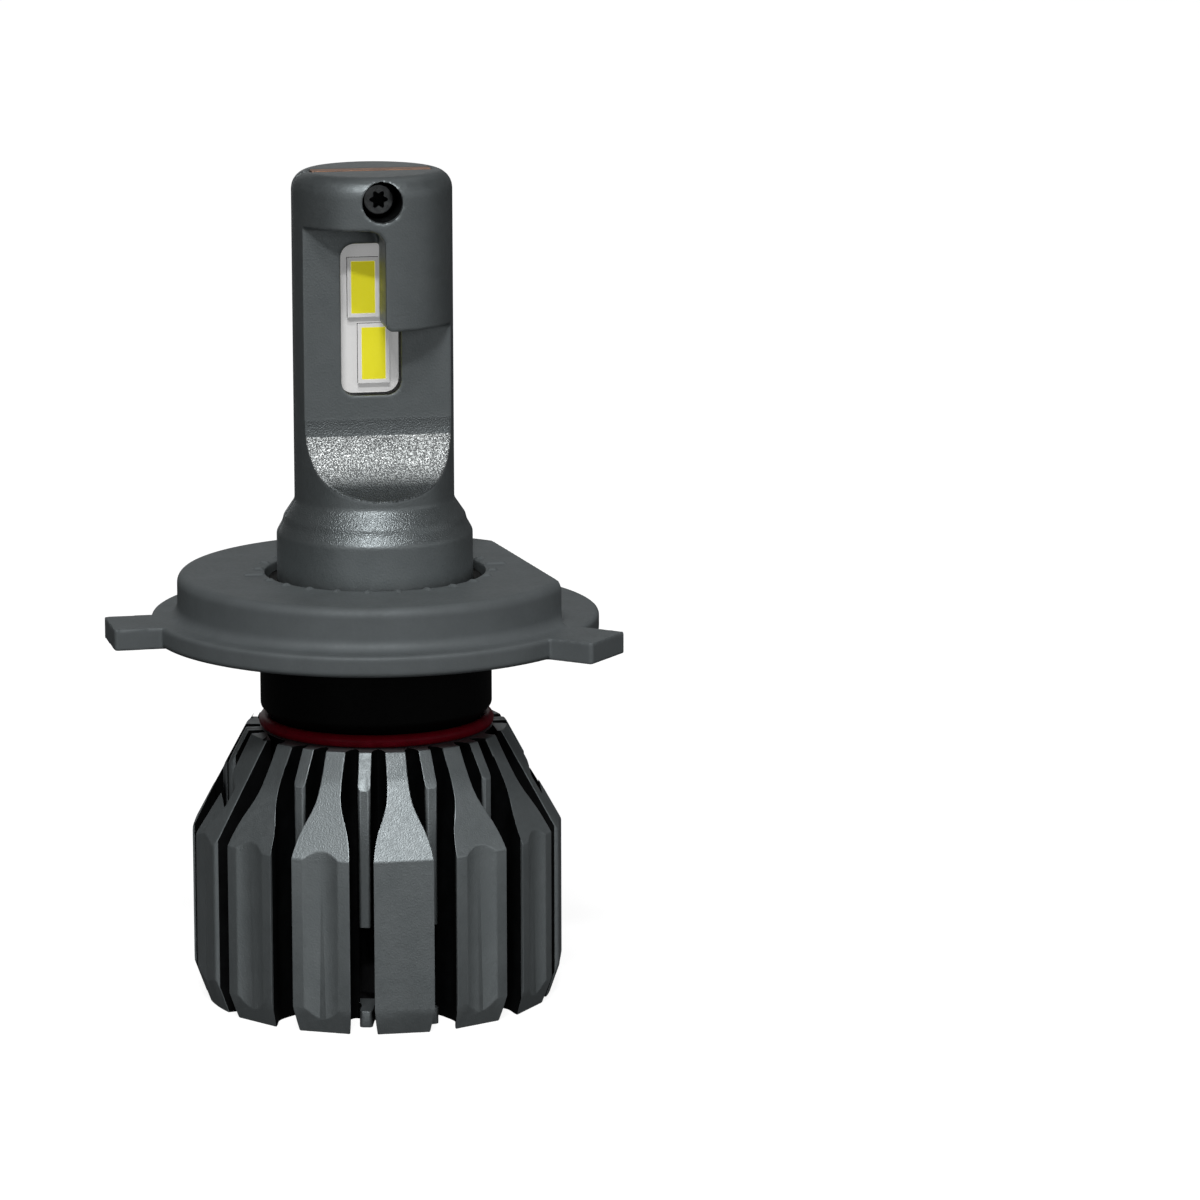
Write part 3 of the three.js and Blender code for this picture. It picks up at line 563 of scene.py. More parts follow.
def scoop_masks(made, coords, height):
    """1 on the whole scoop, 1 on it below its upper end, and 1 above its lower end."""
    offset = add(made, "ShaderNodeVectorMath", operation="SUBTRACT")
    made.node_tree.links.new(coords, offset.inputs[0])
    offset.inputs[1].default_value = (0, (FLAT_Y - SCOOP_RADIUS) * MM, SCOOP_Z * MM)
    across = add(made, "ShaderNodeVectorMath", operation="MULTIPLY")
    made.node_tree.links.new(offset.outputs[0], across.inputs[0])
    across.inputs[1].default_value = (0, 1, 1)
    distance = add(made, "ShaderNodeVectorMath", operation="LENGTH")
    made.node_tree.links.new(across.outputs[0], distance.inputs[0])
    near = by_height(made, distance.outputs["Value"], 1, 0, SCOOP_RADIUS + 0.05, SCOOP_RADIUS + 0.14)
    below_edge = by_height(made, height, 1, 0, SCOOP_Z - 0.3, SCOOP_Z)
    below = by_height(made, height, 1, 0, SCOOP_Z - BLAST_TOP - 0.15, SCOOP_Z - BLAST_TOP)
    above = by_height(made, height, 0, 1, SCOOP_Z - BLAST_BOTTOM, SCOOP_Z - BLAST_BOTTOM + 1.9)
    return product(made, near, below_edge), product(made, near, below), above


def casting_material():
    """Dark blasted casting; the scoop is bare and bright and the underside is machined. Painted glints on
    the scoop's pebbles; painted shade in crevices, on the stem and at the scoop's ends, painted light on
    the fins.
    """
    made = material("casting", CASTING_LIGHT, CASTING_ROUGHNESS, CASTING_METAL)
    coords = position(made)
    height = add(made, "ShaderNodeSeparateXYZ", Vector=coords).outputs["Z"]
    scoop, scoop_below, scoop_above = scoop_masks(made, coords, height)
    blasted = product(made, scoop_below, scoop_above)
    machined = by_height(made, height, 1, 0, BASE_Z + 0.02, BASE_Z + 0.08)
    shoulder = product(made, by_height(made, height, 0, 1, SHOULDER_LOW_Z - 0.05, SHOULDER_LOW_Z + 0.35),
                       by_height(made, height, 1, 0, SHOULDER_TOP_Z - 0.3, SHOULDER_TOP_Z + 0.3))
    cone = product(made, by_height(made, height, 0, 0.2, CONE_LOW_Z + 0.1, CONE_LOW_Z + 0.3),
                   by_height(made, height, 1, 0, SINK_TOP_Z - 0.1, SINK_TOP_Z))
    pebbles = ramp(made, noise(made, 8, 0), 0, 1)

    # painted light and shade: the fins are lightened and the stem darkened by height, and the scoop's two
    # ends darkened further
    painted_light_by_height = by_height(made, height, 1.15, 0.84, SINK_TOP_Z, 9)
    painted_scoop_end_shade = by_height(made, height, 0.42, 0.72, SCOOP_Z - BLAST_BOTTOM, SCOOP_Z - 2)
    anodised_and_shade = mixed(made, ramp(made, noise(made, 0.35, 4), 0, 1), CASTING_DARK, CASTING_LIGHT)
    anodised_and_shade = scaled(made, anodised_and_shade, product(made, painted_light_by_height, mixed_value(made, scoop, 1, painted_scoop_end_shade)))
    # bare blasted metal whose pebbles are painted bright and dark as painted glints
    bare_metal_and_glints = mixed(made, ramp(made, pebbles, 0, 1, 0.15, 0.85), GLINT_DARK, GLINT_BRIGHT)
    colour = mixed(made, blasted, anodised_and_shade, bare_metal_and_glints)
    colour = mixed(made, machined, colour, MACHINED)
    # painted shade: faces that ambient occlusion finds deep in a crevice turn near-black
    colour = mixed(made, occlusion(made, 3, 0.25, 0.6), PAINTED_CREVICE_SHADE, colour)
    shader_input(made, "Base Color", colour)

    bare = combined(made, "MAXIMUM", blasted, machined)
    shader_input(made, "Metallic", ramp(made, bare, CASTING_METAL, BARE_METAL, 0, 1))
    low, high = CASTING_ROUGHNESS - ROUGHNESS_SPREAD, CASTING_ROUGHNESS + ROUGHNESS_SPREAD
    patches = ramp(made, noise(made, 2, 3), low, high)
    shader_input(made, "Roughness", product(made, patches, ramp(made, shoulder, 1, 0.84, 0, 1)))

    fading = by_height(made, height, 0, 1.3, SCOOP_Z - BLAST_BOTTOM, SCOOP_Z - BLAST_BOTTOM + 1.5)
    rough_scoop = product(made, scoop_below, fading)
    rough_ends = ramp(made, scoop, 0, 0.6, 0, 1)
    rough_shoulder = ramp(made, shoulder, 0, 0.55, 0, 1)
    rough = combined(made, "MAXIMUM", rough_scoop, rough_ends, rough_shoulder, cone)
    fine = ramp(made, noise(made, 5, 2), 0, 0.22)
    relief = combined(made, "ADD", fine, product(made, pebbles, rough))
    grain(made, relief, 0.6, 0.06)
    return made


LOOKS = {
    "casting": casting_material(),
    "collar_metal": mottled("collar_metal", (0.145, 0.162, 0.168), (0.164, 0.183, 0.19), 0.64, 0.35, 5, 0.3,
                            Specular_IOR_Level=0.35),
    "black_steel": mottled("black_steel", (0.09, 0.095, 0.098), (0.16, 0.167, 0.17), 0.32, 2, 8, 0.9),
    "copper": mottled("copper", (0.34, 0.17, 0.1), (0.5, 0.27, 0.17), 0.45, 1, 6, 0.9),
    # painted light: the white circuit layer glows faintly though the LEDs are unlit
    "white_mask": mottled("white_mask", (0.88, 0.88, 0.87), (0.93, 0.93, 0.92), 0.5, 1.5, 6,
                          Emission_Color=(1, 1, 1, 1), Emission_Strength=0.2),
    # painted light: the LED trays glow faintly though the LEDs are unlit
    "led_body": mottled("led_body", (0.88, 0.88, 0.87), (0.93, 0.93, 0.92), 0.5, 2, 8,
                        Emission_Color=(1, 1, 1, 1), Emission_Strength=0.15),
    # painted light: the phosphor glows faintly though the LEDs are unlit
    "phosphor": mottled("phosphor", (0.86, 0.8, 0.02), (0.94, 0.88, 0.03), 0.5, 3, 10,
                        Emission_Color=(1, 0.92, 0.02, 1), Emission_Strength=0.25),
    "black_plastic": mottled("black_plastic", (0.001, 0.001, 0.001), (0.002, 0.002, 0.002), 0.6, 0.8, 6,
                             Specular_IOR_Level=0.1),
    "red_rubber": mottled("red_rubber", (0.17, 0.0005, 0.008), (0.22, 0.0008, 0.012), 0.4, 1, 8,
                          Specular_IOR_Level=0.1),
    "steel": mottled("steel", (0.45, 0.46, 0.47), (0.6, 0.61, 0.62), 0.3, 1, 8, 1.0),
    "bronze": mottled("bronze", (0.35, 0.22, 0.08), (0.48, 0.32, 0.13), 0.4, 1.5, 8, 0.9),
    "green_board": mottled("green_board", (0.01, 0.07, 0.03), (0.014, 0.1, 0.045), 0.4, 1, 5),
    "chip_resin": mottled("chip_resin", (0.006, 0.006, 0.007), (0.012, 0.012, 0.013), 0.55, 2, 10),
    "ceramic": mottled("ceramic", (0.3, 0.16, 0.06), (0.4, 0.23, 0.1), 0.5, 2, 8),
    "ferrite": mottled("ferrite", (0.025, 0.025, 0.027), (0.045, 0.045, 0.048), 0.55, 2, 8),
}
# painted shade: a near-black finish put on faces that lie in shade
PAINTED_SHADE = mottled("casting_painted_shade", (0.002, 0.0022, 0.0024), (0.005, 0.0055, 0.006), 0.6, 0.6, 5,
                 Specular_IOR_Level=0.1)
FAN_BLACK = mottled("fan_black", (0.008, 0.008, 0.009), (0.014, 0.014, 0.015), 0.4, 0.8, 6)


def finished(obj, name, body, nodes, slot):
    """Makes a worked shape a piece of the model: metres, smooth shading, finish and body."""
    obj.name = name
    obj.data.name = name
    obj.data.transform(Matrix.Scale(MM, 4))
    obj.data.materials.clear()
    obj.data.materials.append(LOOKS[slot])
    obj.data.polygons.foreach_set("use_smooth", [True] * len(obj.data.polygons))
    obj.data.set_sharp_from_angle(angle=math.radians(26))
    weighted = obj.modifiers.new("weighted", "WEIGHTED_NORMAL")
    weighted.keep_sharp = True
    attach(obj, body)
    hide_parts(*nodes)
    return obj


# ---------------------------------------------------------------- die-cast halves

def stem_envelope():
    corners = [
        (0, SINK_TOP_Z - PAST),
        (NECK_RADIUS, SINK_TOP_Z - PAST),
        (NECK_RADIUS, SLEEVE_TOP_Z),
        (SHOULDER_RADIUS, SLEEVE_TOP_Z + NECK_STEP),
        (SHOULDER_RADIUS, SHOULDER_LOW_Z, SHOULDER_FILLET),
        *[(radius, z, SHOULDER_FILLET) for radius, z in SHOULDER_STEPS],
        (STEM_RADIUS, SHOULDER_TOP_Z, STEM_FOOT_FILLET),
        (STEM_RADIUS, TIP_Z, STEM_TOP_FILLET),
        (0, TIP_Z),
    ]
    return revolve(rounded(corners, closed=False))


def stem_relief():
    """The flat left of and below the shield, and the scoop that ends it."""
    aside = STEM_RADIUS + 2 * PAST
    flat = prism(rounded([
        (-aside, SCOOP_Z),
        (aside, SCOOP_Z),
        (aside, SHIELD_BOTTOM_Z),
        (SHIELD_LEFT, SHIELD_BOTTOM_Z, SHIELD_CORNER),
        (SHIELD_LEFT, FLAT_TOP_Z, FLAT_TOP_FILLET),
        (-aside, FLAT_TOP_Z),
    ]), -aside, FLAT_Y, upright=False)
    scoop = prism(circle(0, 0, SCOOP_RADIUS, 160), -aside, aside)
    lying = Matrix.Rotation(math.pi / 2, 4, "Y")
    scoop.data.transform(Matrix.Translation((0, FLAT_Y - SCOOP_RADIUS, SCOOP_Z)) @ lying)
    lower = common(scoop, box((-OUTSIDE, -OUTSIDE, 0), (OUTSIDE, OUTSIDE, SCOOP_Z + FIT / 2)))
    return [flat, lower]


def window_cut():
    left, low, right, top = WINDOW
    r = WINDOW_CORNER
    corners = [(left, low, r), (right, low, r), (right, top, r), (left, top, r)]
    return prism(rounded(corners), FLAT_Y - FIT, 0, upright=False)


def pocket():
    low = (-POCKET_HALF_X, -POCKET_HALF_Y, SINK_ROOF_Z - PAST)
    return box(low, (POCKET_HALF_X, POCKET_HALF_Y, POCKET_TOP_Z))


def inner_space():
    """Recesses for the LED board's head and tail, and the driver's pocket."""
    clear = (board_high.y - board_low.y) / 2 + CIRCUIT_LAYER + FIT
    return [
        box((board_low.x - BOARD_PLAY, -clear, BOARD_TAIL_TOP_Z - BOARD_PLAY),
            (board_high.x + BOARD_PLAY, clear, TIP_Z + PAST)),
        box((-TAIL_RECESS_HALF, -clear, TAIL_RECESS_LOW_Z), (TAIL_RECESS_HALF, clear, TIP_Z)),
        pocket(),
    ]


def front_side(high):
    """Everything in front of the parting plane, up to a height."""
    return box((-OUTSIDE, -OUTSIDE, BASE_Z - PAST), (OUTSIDE, -SEAM_GAP, high + PAST))


def stem_half():
    """Stem, shoulder and neck of the front half."""
    stem = cut(stem_envelope(), *stem_relief(), window_cut(), *inner_space())
    return common(stem, front_side(TIP_Z))


def sink_envelope():
    return revolve([
        (0, BASE_Z),
        (BASE_RADIUS, BASE_Z),
        (SINK_RADIUS, BASE_CHAMFER_Z),
        (SINK_RADIUS, CONE_LOW_Z),
        (SINK_TOP_RADIUS, SINK_TOP_Z),
        (0, SINK_TOP_Z),
    ])


def fin_outline(fluted):
    """Plan of a fin that points along +X."""
    centre_x = FIN_FACE + math.sqrt(FLUTE_RADIUS ** 2 - FLUTE_HALF_WIDTH ** 2)
    opening = math.degrees(math.asin(FLUTE_HALF_WIDTH / FLUTE_RADIUS))
    face = arc(centre_x, 0, FLUTE_RADIUS, 180 + opening, 180 - opening, 12) if fluted else []
    return [(x, -y) for x, y in FIN_FLANK] + face + FIN_FLANK[::-1]


def fin(fluted):
    """Ordinary fin along +X; flat facets end it above and below its outer face."""
    facets = prism([
        (0, BASE_Z),
        (BASE_RADIUS, BASE_Z),
        (FIN_FACE, FIN_FACE_LOW_Z),
        (FIN_FACE, FIN_FACE_TOP_Z),
        (SINK_TOP_RADIUS, SINK_TOP_Z),
        (0, SINK_TOP_Z),
    ], -5, 5, upright=False)
    return bevelled(common(prism(fin_outline(fluted), BASE_Z, SINK_TOP_Z), facets), 0.12, 20)


def seam_fin():
    """The fin beside the seam, on the +Y side of +X, with the T-shaped slot's half cut into it."""
    inner_y = lambda x: SEAM_FIN_INNER[1] + SEAM_FIN_SLOPE * (x - SEAM_FIN_INNER[0])
    outer_y = lambda x: SEAM_FIN_OUTER[1] + SEAM_FIN_SLOPE * (x - SEAM_FIN_OUTER[0])
    outline = rounded([
        (FIN_ROOT, inner_y(FIN_ROOT)),
        (T_SLOT_INNER, inner_y(T_SLOT_INNER), 0.2),
        (T_SLOT_INNER, T_SLOT_HALF, 0.15),
        (T_SLOT_OUTER, T_SLOT_HALF, 0.15),
        (T_SLOT_OUTER, 2.35, 0.2),
        (15.9, 2.1, 0.2),
        (17.95, 1.2, 0.15),
        (17.2, 3.6, 0.3),
        (16.75, outer_y(16.75), 0.6),
        (FIN_ROOT, outer_y(FIN_ROOT)),
    ], steps=4)
    return bevelled(common(prism(outline, BASE_Z, SINK_TOP_Z), sink_envelope()), 0.1, 20)


def stub(low, high):
    """The stub between two fins, along +X."""
    half = STUB_HALF_WIDTH
    flare = [(x, half + extra) for x, extra in STUB_FLARE]
    end = rounded([
        (STUB_FLARE_END, -half),
        (STUB_REACH, -half, 0.35),
        (STUB_REACH, half, 0.35),
        (STUB_FLARE_END, half),
    ])
    outline = [(x, -y) for x, y in flare] + end + flare[::-1]
    return bevelled(common(prism(outline, low, high), sink_envelope()), 0.07, 40)


def seam_stub(low, high):
    end = arc(STUB_REACH - SEAM_STUB_ROUND, -SEAM_GAP, SEAM_STUB_ROUND, -90, 0, 6)
    outline = [(FIN_ROOT, -SEAM_STUB_WIDTH), *end, (FIN_ROOT, -SEAM_GAP)]
    return bevelled(common(prism(outline, low, high), sink_envelope()), 0.07, 40)


def ring(inner, outer, low, high):
    return revolve([(inner, low), (outer, low), (outer, high), (inner, high)])


def fan_boss():
    """Post under the roof that takes the fan's screw."""
    foot_z = plate_high.z
    boss = post(0, -FAN_SCREW_Y, FAN_BOSS_RADIUS, foot_z + FIT, SINK_ROOF_Z + OVERLAP)
    hole = post(0, -FAN_SCREW_Y, FAN_BOSS_HOLE, foot_z - PAST, foot_z + FAN_BOSS_HOLE_DEPTH)
    return cut(boss, hole)


def sink_half():
    """Heat sink of the front half: fins, wall, stubs and roof."""
    layers = [(FAN_WINDOW_TOP_Z, SINK_TOP_Z), (BASE_Z, FAN_WINDOW_LOW_Z)]
    walls = [common(ring(WALL_INNER, WALL_OUTER, low, high), sink_envelope()) for low, high in layers]
    roof = revolve([(0, SINK_ROOF_Z), (WALL_OUTER, SINK_ROOF_Z), (WALL_OUTER, SINK_TOP_Z), (0, SINK_TOP_Z)])
    body = common(cut(join(*walls, roof), pocket()), front_side(SINK_TOP_Z))
    parts = [seam_stub(low, high) for low, high in layers]
    parts += [mirrored(seam_stub(low, high), 0) for low, high in layers]
    seam = seam_fin()
    parts += [mirrored(copied(seam)), turned(seam, 180)]
    for k in range(-FINS_EACH_SIDE, FINS_EACH_SIDE + 1):
        parts.append(turned(fin(k != 0), k * FIN_PITCH - 90))
    for k in range(-FINS_EACH_SIDE, FINS_EACH_SIDE):
        parts += [turned(stub(low, high), (k + 0.5) * FIN_PITCH - 90) for low, high in layers]
    return join(body, *parts, fan_boss())


def paint_gap_shade(piece):
    """Painted shade: the near-black finish goes on the faces between the fins, in the screw's bore and on
    the window's edge, where shade falls."""
    piece.data.materials.append(PAINTED_SHADE)
    margin = 0.1
    left, low, right, top = WINDOW
    for polygon in piece.data.polygons:
        middle, normal = polygon.center / MM, polygon.normal
        off_screw = math.hypot(middle.x, middle.z - SCREW_Z)
        in_bore = off_screw < SCREW_BORE_RADIUS + 0.08 and middle.z < TIP_Z - 0.5 and abs(middle.y) < 7
        beside_window = left - margin < middle.x < right + margin and low - margin < middle.z < top + margin
        in_window = beside_window and abs(middle.y) < abs(FLAT_Y) - 0.15
        reach = math.hypot(middle.x, middle.y)
        outward = (middle.x * normal.x + middle.y * normal.y) / reach
        between_fins = WALL_INNER < reach < FIN_FACE and outward < 0.4 and abs(normal.z) < 0.6
        on_wall = WALL_INNER < reach < WALL_OUTER + 0.7 and abs(normal.z) < 0.8
        in_sink = middle.z < SINK_TOP_Z and (between_fins or on_wall)
        if in_bore or in_window or in_sink:
            polygon.material_index = 1


def cast_half(side, stem, sink):
    softened(stem, CAST_VOXEL, 3, 0.3)
    node = "body_half_" + side
    paint_gap_shade(finished(join(sink, stem), "cast_half_" + side, "bulb_body", [node], "casting"))


front_stem = stem_half()
rear_stem = mirrored(copied(front_stem))
cut(front_stem,
    cross_pin(0, SCREW_Z, SCREW_BORE_RADIUS, -OUTSIDE, SCREW_FLOOR_Y),
    cross_pin(0, SCREW_Z, SCREW_CLEAR_RADIUS, -OUTSIDE, 0))
cut(rear_stem, cross_pin(0, SCREW_Z, THREAD_RADIUS + FIT, -PAST, SCREW_HOLE_END_Y))
front_sink = sink_half()
rear_sink = mirrored(copied(front_sink))
cast_half("front", front_stem, front_sink)
cast_half("rear", rear_stem, rear_sink)


# ---------------------------------------------------------------- LED packages

def led_tray(node):
    """White tray with a well for the phosphor."""
    low, high = extent(node)
    front = low.y < 0
    tray = bevelled(box(low, high), 0.04, 40, 2)
    well_front_y = low.y - PAST if front else low.y + LED_WELL_DEPTH
    well_back_y = high.y - LED_WELL_DEPTH if front else high.y + PAST
    well_low = Vector((low.x + LED_RIM, well_front_y, low.z + LED_RIM))
    well_high = Vector((high.x - LED_RIM, well_back_y, high.z - LED_RIM))
    return cut(tray, box(well_low, well_high))


def paint_flank_shade(tray):
    """Painted shade: the flanks take the near-black finish up to the white rim, for the thin shadow round
    each package.
    """
    tray.data.materials.append(PAINTED_SHADE)
    for polygon in tray.data.polygons:
        if abs(polygon.normal.y) < 0.5 and abs(polygon.center.y / MM) < LED_EDGE_Y:
            polygon.material_index = 1


for beam in ("low", "high"):
    for side in ("front", "rear"):
        led = f"led_{beam}_{side}"
        paint_flank_shade(finished(led_tray(led), f"emitter_{beam}_{side}", "bulb_body", [led], "led_body"))


# ---------------------------------------------------------------- screw

def screw():
    head_y = screw_low.y
    blank = prism(circle(0, SCREW_Z, SCREW_HEAD_RADIUS), head_y, SCREW_FLOOR_Y - FIT, upright=False)
    head = bevelled(blank, 0.15, 40, 3)
    shank = cross_pin(0, SCREW_Z, THREAD_RADIUS, SCREW_FLOOR_Y - 0.5, screw_high.y)
    star = []
    for degrees in range(0, 360, 5):
        a = math.radians(degrees)
        r = SOCKET_RADIUS + SOCKET_WAVE * math.cos(SOCKET_LOBES * a)
        star.append((r * math.cos(a), SCREW_Z + r * math.sin(a)))
    return cut(join(head, shank), prism(star, head_y - PAST, head_y + SOCKET_DEPTH, upright=False))


def paint_socket_shade(piece):
    # painted shade: the socket's floor and walls take the near-black finish
    piece.data.materials.append(PAINTED_SHADE)
    for polygon in piece.data.polygons:
        middle = polygon.center / MM
        in_socket = math.hypot(middle.x, middle.z - SCREW_Z) < SOCKET_RADIUS + SOCKET_WAVE + 0.01
        if in_socket and middle.y > screw_low.y + 0.03:
            polygon.material_index = 1


paint_socket_shade(finished(screw(), "hexalobular_screw", "bulb_body", ["clamp_screw"], "black_steel"))


# ---------------------------------------------------------------- sleeve, O-ring and collar

def sleeve():
    radius = sleeve_high.x
    inner = SHOULDER_RADIUS + FIT
    neck = NECK_RADIUS + FIT
    foot_z = sleeve_low.z
    barrel_z = foot_z + SLEEVE_FOOT_HEIGHT
    groove_radius, groove_low, groove_high = SNAP_GROOVE
    return revolve(rounded([
        (neck, foot_z),
        (SLEEVE_FOOT_RADIUS, foot_z, 0.1),
        (SLEEVE_FOOT_RADIUS, barrel_z, 0.2),
        (radius - SLEEVE_CHAMFER, barrel_z, 0.1),
        (radius, barrel_z + SLEEVE_CHAMFER, 0.6),
        (radius, SLEEVE_TOP_Z, 0.2),
        (SLEEVE_RIM_RADIUS, SLEEVE_TOP_Z, 0.1),
        (SLEEVE_RIM_RADIUS, groove_low),
        (groove_radius, groove_low),
        (groove_radius, groove_high),
        (SLEEVE_RIM_RADIUS, groove_high),
        (SLEEVE_RIM_RADIUS, sleeve_high.z, 0.15),
        (inner, sleeve_high.z),
        (inner, SLEEVE_TOP_Z + 0.45),
        (neck, SLEEVE_TOP_Z),
    ], steps=4))


def rubber_ring():
    section = (ring_high.z - ring_low.z) / 2
    centre_z = (ring_high.z + ring_low.z) / 2
    return revolve(arc(ring_high.x - section, centre_z, section, 0, 345, 23))


def lug(angle, width, round_end):
    half = width / 2
    if round_end:
        tip = arc(LUG_REACH - half, 0, half, -90, 90, 24)
        outline = [(LUG_ROOT, -half), *tip, (LUG_ROOT, half)]
    else:
        tip = [(LUG_REACH, -half, LUG_CORNER), (LUG_REACH, half, LUG_CORNER)]
        outline = rounded([(LUG_ROOT, -half), *tip, (LUG_ROOT, half)])
    return turned(prism(outline, collar_low.z, 0), angle)


def tick(index):
    outer = INDEX_TICK_OUTER if index % (TICKS / 2) == 0 else TICK_OUTER
    half = TICK_HALF_WIDTH
    top = collar_high.z
    outline = [(TICK_INNER, -half), (outer, -half), (outer, half), (TICK_INNER, half)]
    return turned(prism(outline, top - TICK_HEIGHT - OVERLAP, top), index * 360 / TICKS)


def collar():
    low = collar_low.z
    boss_top = collar_high.z - TICK_HEIGHT
    inside = COLLAR_BLANK_INNER
    disc = revolve(rounded([
        (inside, low),
        (DISC_RADIUS, low, 0.5),
        (DISC_RADIUS, 0, 0.35),
        (inside, 0),
    ]))
    boss = revolve(rounded([
        (inside, -PAST),
        (BOSS_RADIUS + 1.5, -PAST),
        (BOSS_RADIUS + 1.5, 0),
        (BOSS_RADIUS, 0, BOSS_FOOT_FILLET),
        (BOSS_RADIUS, boss_top, BOSS_TOP_FILLET),
        (inside, boss_top),
    ]))
    beyond_flat = box((BOSS_FLAT_DISTANCE, -DISC_RADIUS, 0), (OUTSIDE, DISC_RADIUS, 10))
    boss = cut(boss, turned(beyond_flat, BOSS_FLAT_ANGLE))
    lugs = [lug(180, 6.6, False), lug(317, 6.3, False), lug(47, 7, True)]
    blank = join(disc, boss, *lugs, *[tick(i) for i in range(TICKS)])
    bore = revolve([(0, -5), (COLLAR_BORE, -5), (COLLAR_BORE, 8), (0, 8)])
    groove_radius, groove_low, groove_high = COLLAR_GROOVE
    groove = ring(5, groove_radius, groove_low, groove_high)
    recess = ring(5, sleeve_high.x + RUNNING_GAP, low - PAST, low + COLLAR_RECESS)
    return turned(cut(blank, bore, groove, recess), COLLAR_CLOCKING)


finished(sleeve(), "black_sleeve", "bulb_body", ["barrel_sleeve"], "black_plastic")
finished(rubber_ring(), "rubber_ring", "bulb_body", ["o_ring"], "red_rubber")
finished(softened(collar(), CAST_VOXEL, 2, 0.3), "lug_collar", "collar", ["flange_collar"], "collar_metal")


# ---------------------------------------------------------------- fan rotor

def blade(index):
    """Swept fan blade of even thickness."""
    steps = 8
    edges = []
    for side in (-1, 1):
        edge = []
        for i in range(steps + 1):
            share = i / steps
            r = BLADE_ROOT + BLADE_LENGTH * share
            a = math.radians(BLADE_SWEEP * share ** 1.4) + side * BLADE_HALF_THICKNESS / r
            edge.append((r * math.cos(a), r * math.sin(a)))
        edges.append(edge)
    near, far = edges
    return turned(prism(near + far[::-1], BLADE_LOW_Z, BLADE_TOP_Z), 360 * index / BLADES)


def rotor():
    low, top = rotor_low.z, rotor_high.z
    dimple_z = low + HUB_DIMPLE_DEPTH
    disc_top = low + HUB_THICKNESS
    boss_top = disc_top + SHAFT_BOSS_HEIGHT
    cup = revolve(rounded([
        (SHAFT_BORE, dimple_z),
        (HUB_DIMPLE_RADIUS, dimple_z),
        (HUB_DIMPLE_RADIUS, low, 0.05),
        (HUB_RADIUS, low, 0.25),
        (HUB_RADIUS, disc_top, 0.1),
        (CUP_OUTER, disc_top),
        (CUP_OUTER, top),
        (CUP_INNER, top),
        (CUP_INNER, disc_top),
        (SHAFT_BOSS_RADIUS, disc_top),
        (SHAFT_BOSS_RADIUS, boss_top),
        (SHAFT_BORE, boss_top),
    ], steps=4))
    foot = ring(BLADE_FOOT_INNER, HUB_RADIUS, BLADE_FOOT_LOW_Z, BLADE_FOOT_TOP_Z)
    whole = join(cup, foot, *[blade(k) for k in range(BLADES)])
    return cut(whole, post(0, BALANCE_HOLE_Y, BALANCE_HOLE_RADIUS, low - PAST, dimple_z))


impeller = finished(rotor(), "impeller", "rotor", ["fan_rotor"], "black_plastic")
impeller.data.materials[0] = FAN_BLACK


# ---------------------------------------------------------------- CAD nodes that stay

REPLACED = {
    "body_half_front", "body_half_rear", "clamp_screw", "barrel_sleeve", "o_ring", "flange_collar",
    "fan_rotor", "led_low_front", "led_low_rear", "led_high_front", "led_high_rear",
}
SLOTS = {part["node"]: part["material_slot"] for part in frame["record"]["subparts"]}
for node, obj in frame["nodes"].items():
    if node in REPLACED:
        continue
    obj.data.materials.clear()
    obj.data.materials.append(LOOKS[SLOTS[node]])
    weld = obj.modifiers.new("weld", "WELD")
    weld.merge_threshold = 1e-6
    bevel = obj.modifiers.new("bevel", "BEVEL")
    bevel.width = 0.04 * MM
    bevel.segments = 2
    bevel.limit_method = "ANGLE"
    bevel.angle_limit = math.radians(40)


# ---------------------------------------------------------------- floor, light and camera

def pale_floor():
    shade = (0.35, 0.35, 0.35)
    made = material("pale_floor", shade, 0.9, Emission_Color=(1, 1, 1, 1), Emission_Strength=0.9)
    cloud = ramp(made, noise(made, 0.01, 2), 0, 1)
    shader_input(made, "Base Color", mixed(made, cloud, shade, (0.34, 0.34, 0.34)))
    return made


AMBIENT = 0.05


def studio():
    bm = bmesh.new()
    bmesh.ops.create_grid(bm, x_segments=1, y_segments=1, size=6)
    floor = new_object("floor", bm)
    floor.location.z = cad_bounds[0].z
    floor.data.materials.append(pale_floor())
    floor.visible_glossy = False
    floor.visible_diffuse = False
    # the room is white behind the object and dim around it
    world = bpy.data.worlds.new("studio")
    bpy.context.scene.world = world
    world.use_nodes = True
    nodes = world.node_tree.nodes
    path = nodes.new("ShaderNodeLightPath")
    strength = nodes.new("ShaderNodeMapRange")
    strength.inputs["To Min"].default_value = AMBIENT
    strength.inputs["To Max"].default_value = 1
    world.node_tree.links.new(path.outputs["Is Camera Ray"], strength.inputs["Value"])
    world.node_tree.links.new(strength.outputs["Result"], nodes["Background"].inputs["Strength"])
    nodes["Background"].inputs["Color"].default_value = (1, 1, 1, 1)


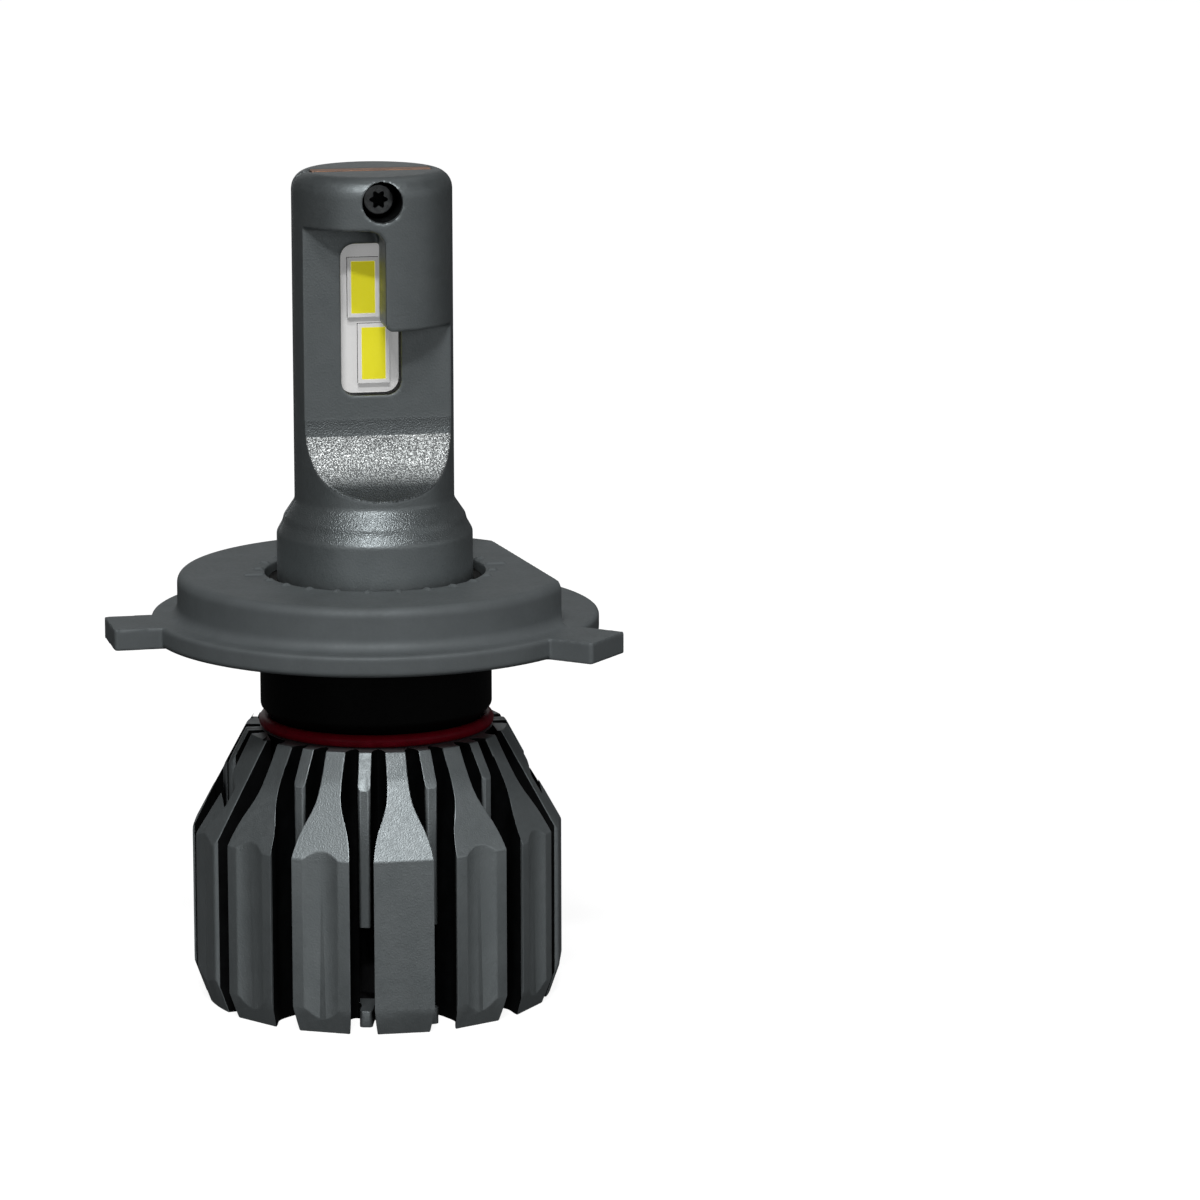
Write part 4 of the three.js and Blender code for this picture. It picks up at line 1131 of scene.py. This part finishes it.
def lamp(name, azimuth, elevation, width, height, power, distance=1.5):
    """Softbox aimed at the bulb; azimuth 0 is the -Y side and grows towards +X."""
    data = bpy.data.lights.new(name, "AREA")
    data.shape = "RECTANGLE"
    data.size = width
    data.size_y = height
    data.energy = power
    obj = bpy.data.objects.new(name, data)
    a, e = math.radians(azimuth), math.radians(elevation)
    direction = Vector((math.sin(a) * math.cos(e), -math.cos(a) * math.cos(e), math.sin(e)))
    obj.location = direction * distance
    obj.rotation_mode = "QUATERNION"
    obj.rotation_quaternion = direction.to_track_quat("Z", "Y")
    bpy.context.scene.collection.objects.link(obj)


CAMERA_PLACE = Vector((-77.7, -551.8, 114.3))
CAMERA_YAW = 8.2
CAMERA_PITCH = 11.49
CAMERA_ROLL = 0.49
FOCAL_PX = 5912.56
PRINCIPAL_X = 394.1


def camera():
    data = bpy.data.cameras.new("camera")
    data.sensor_width = 36
    data.lens = FOCAL_PX / 1200 * data.sensor_width
    data.clip_start, data.clip_end = 0.01, 20
    obj = bpy.data.objects.new("camera", data)
    yaw, pitch, roll = (math.radians(x) for x in (CAMERA_YAW, CAMERA_PITCH, CAMERA_ROLL))
    forward = Vector((math.sin(yaw) * math.cos(pitch), math.cos(yaw) * math.cos(pitch), -math.sin(pitch)))
    level = Vector((math.cos(yaw), -math.sin(yaw), 0))
    upward = level.cross(forward)
    right = level * math.cos(roll) - upward * math.sin(roll)
    up = level * math.sin(roll) + upward * math.cos(roll)
    # the object stands left of the frame's middle
    aside = math.atan((600 - PRINCIPAL_X) / FOCAL_PX)
    forward, right = (forward * math.cos(aside) + right * math.sin(aside),
                      right * math.cos(aside) - forward * math.sin(aside))
    basis = Matrix((right, up, -forward)).transposed().to_4x4()
    obj.matrix_world = Matrix.Translation(CAMERA_PLACE * MM) @ basis
    bpy.context.scene.collection.objects.link(obj)
    bpy.context.scene.camera = obj


studio()
lamp("key", -13, 42, 0.4, 0.07, 7.8)
lamp("high", -8, 57, 0.4, 0.07, 5)
lamp("left", -40, 5, 0.8, 0.8, 1.3)
lamp("front", 0, 8, 0.8, 0.8, 0.9)
lamp("right", 32, 8, 0.8, 0.8, 1.15)
lamp("far_right", 65, 8, 0.8, 0.8, 1.1)
lamp("behind", 150, 60, 0.8, 0.8, 1)
lamp("back", 180, 8, 0.8, 0.8, 1.2)
camera()
bpy.context.scene.view_settings.view_transform = "Standard"

bpy.context.view_layer.update()
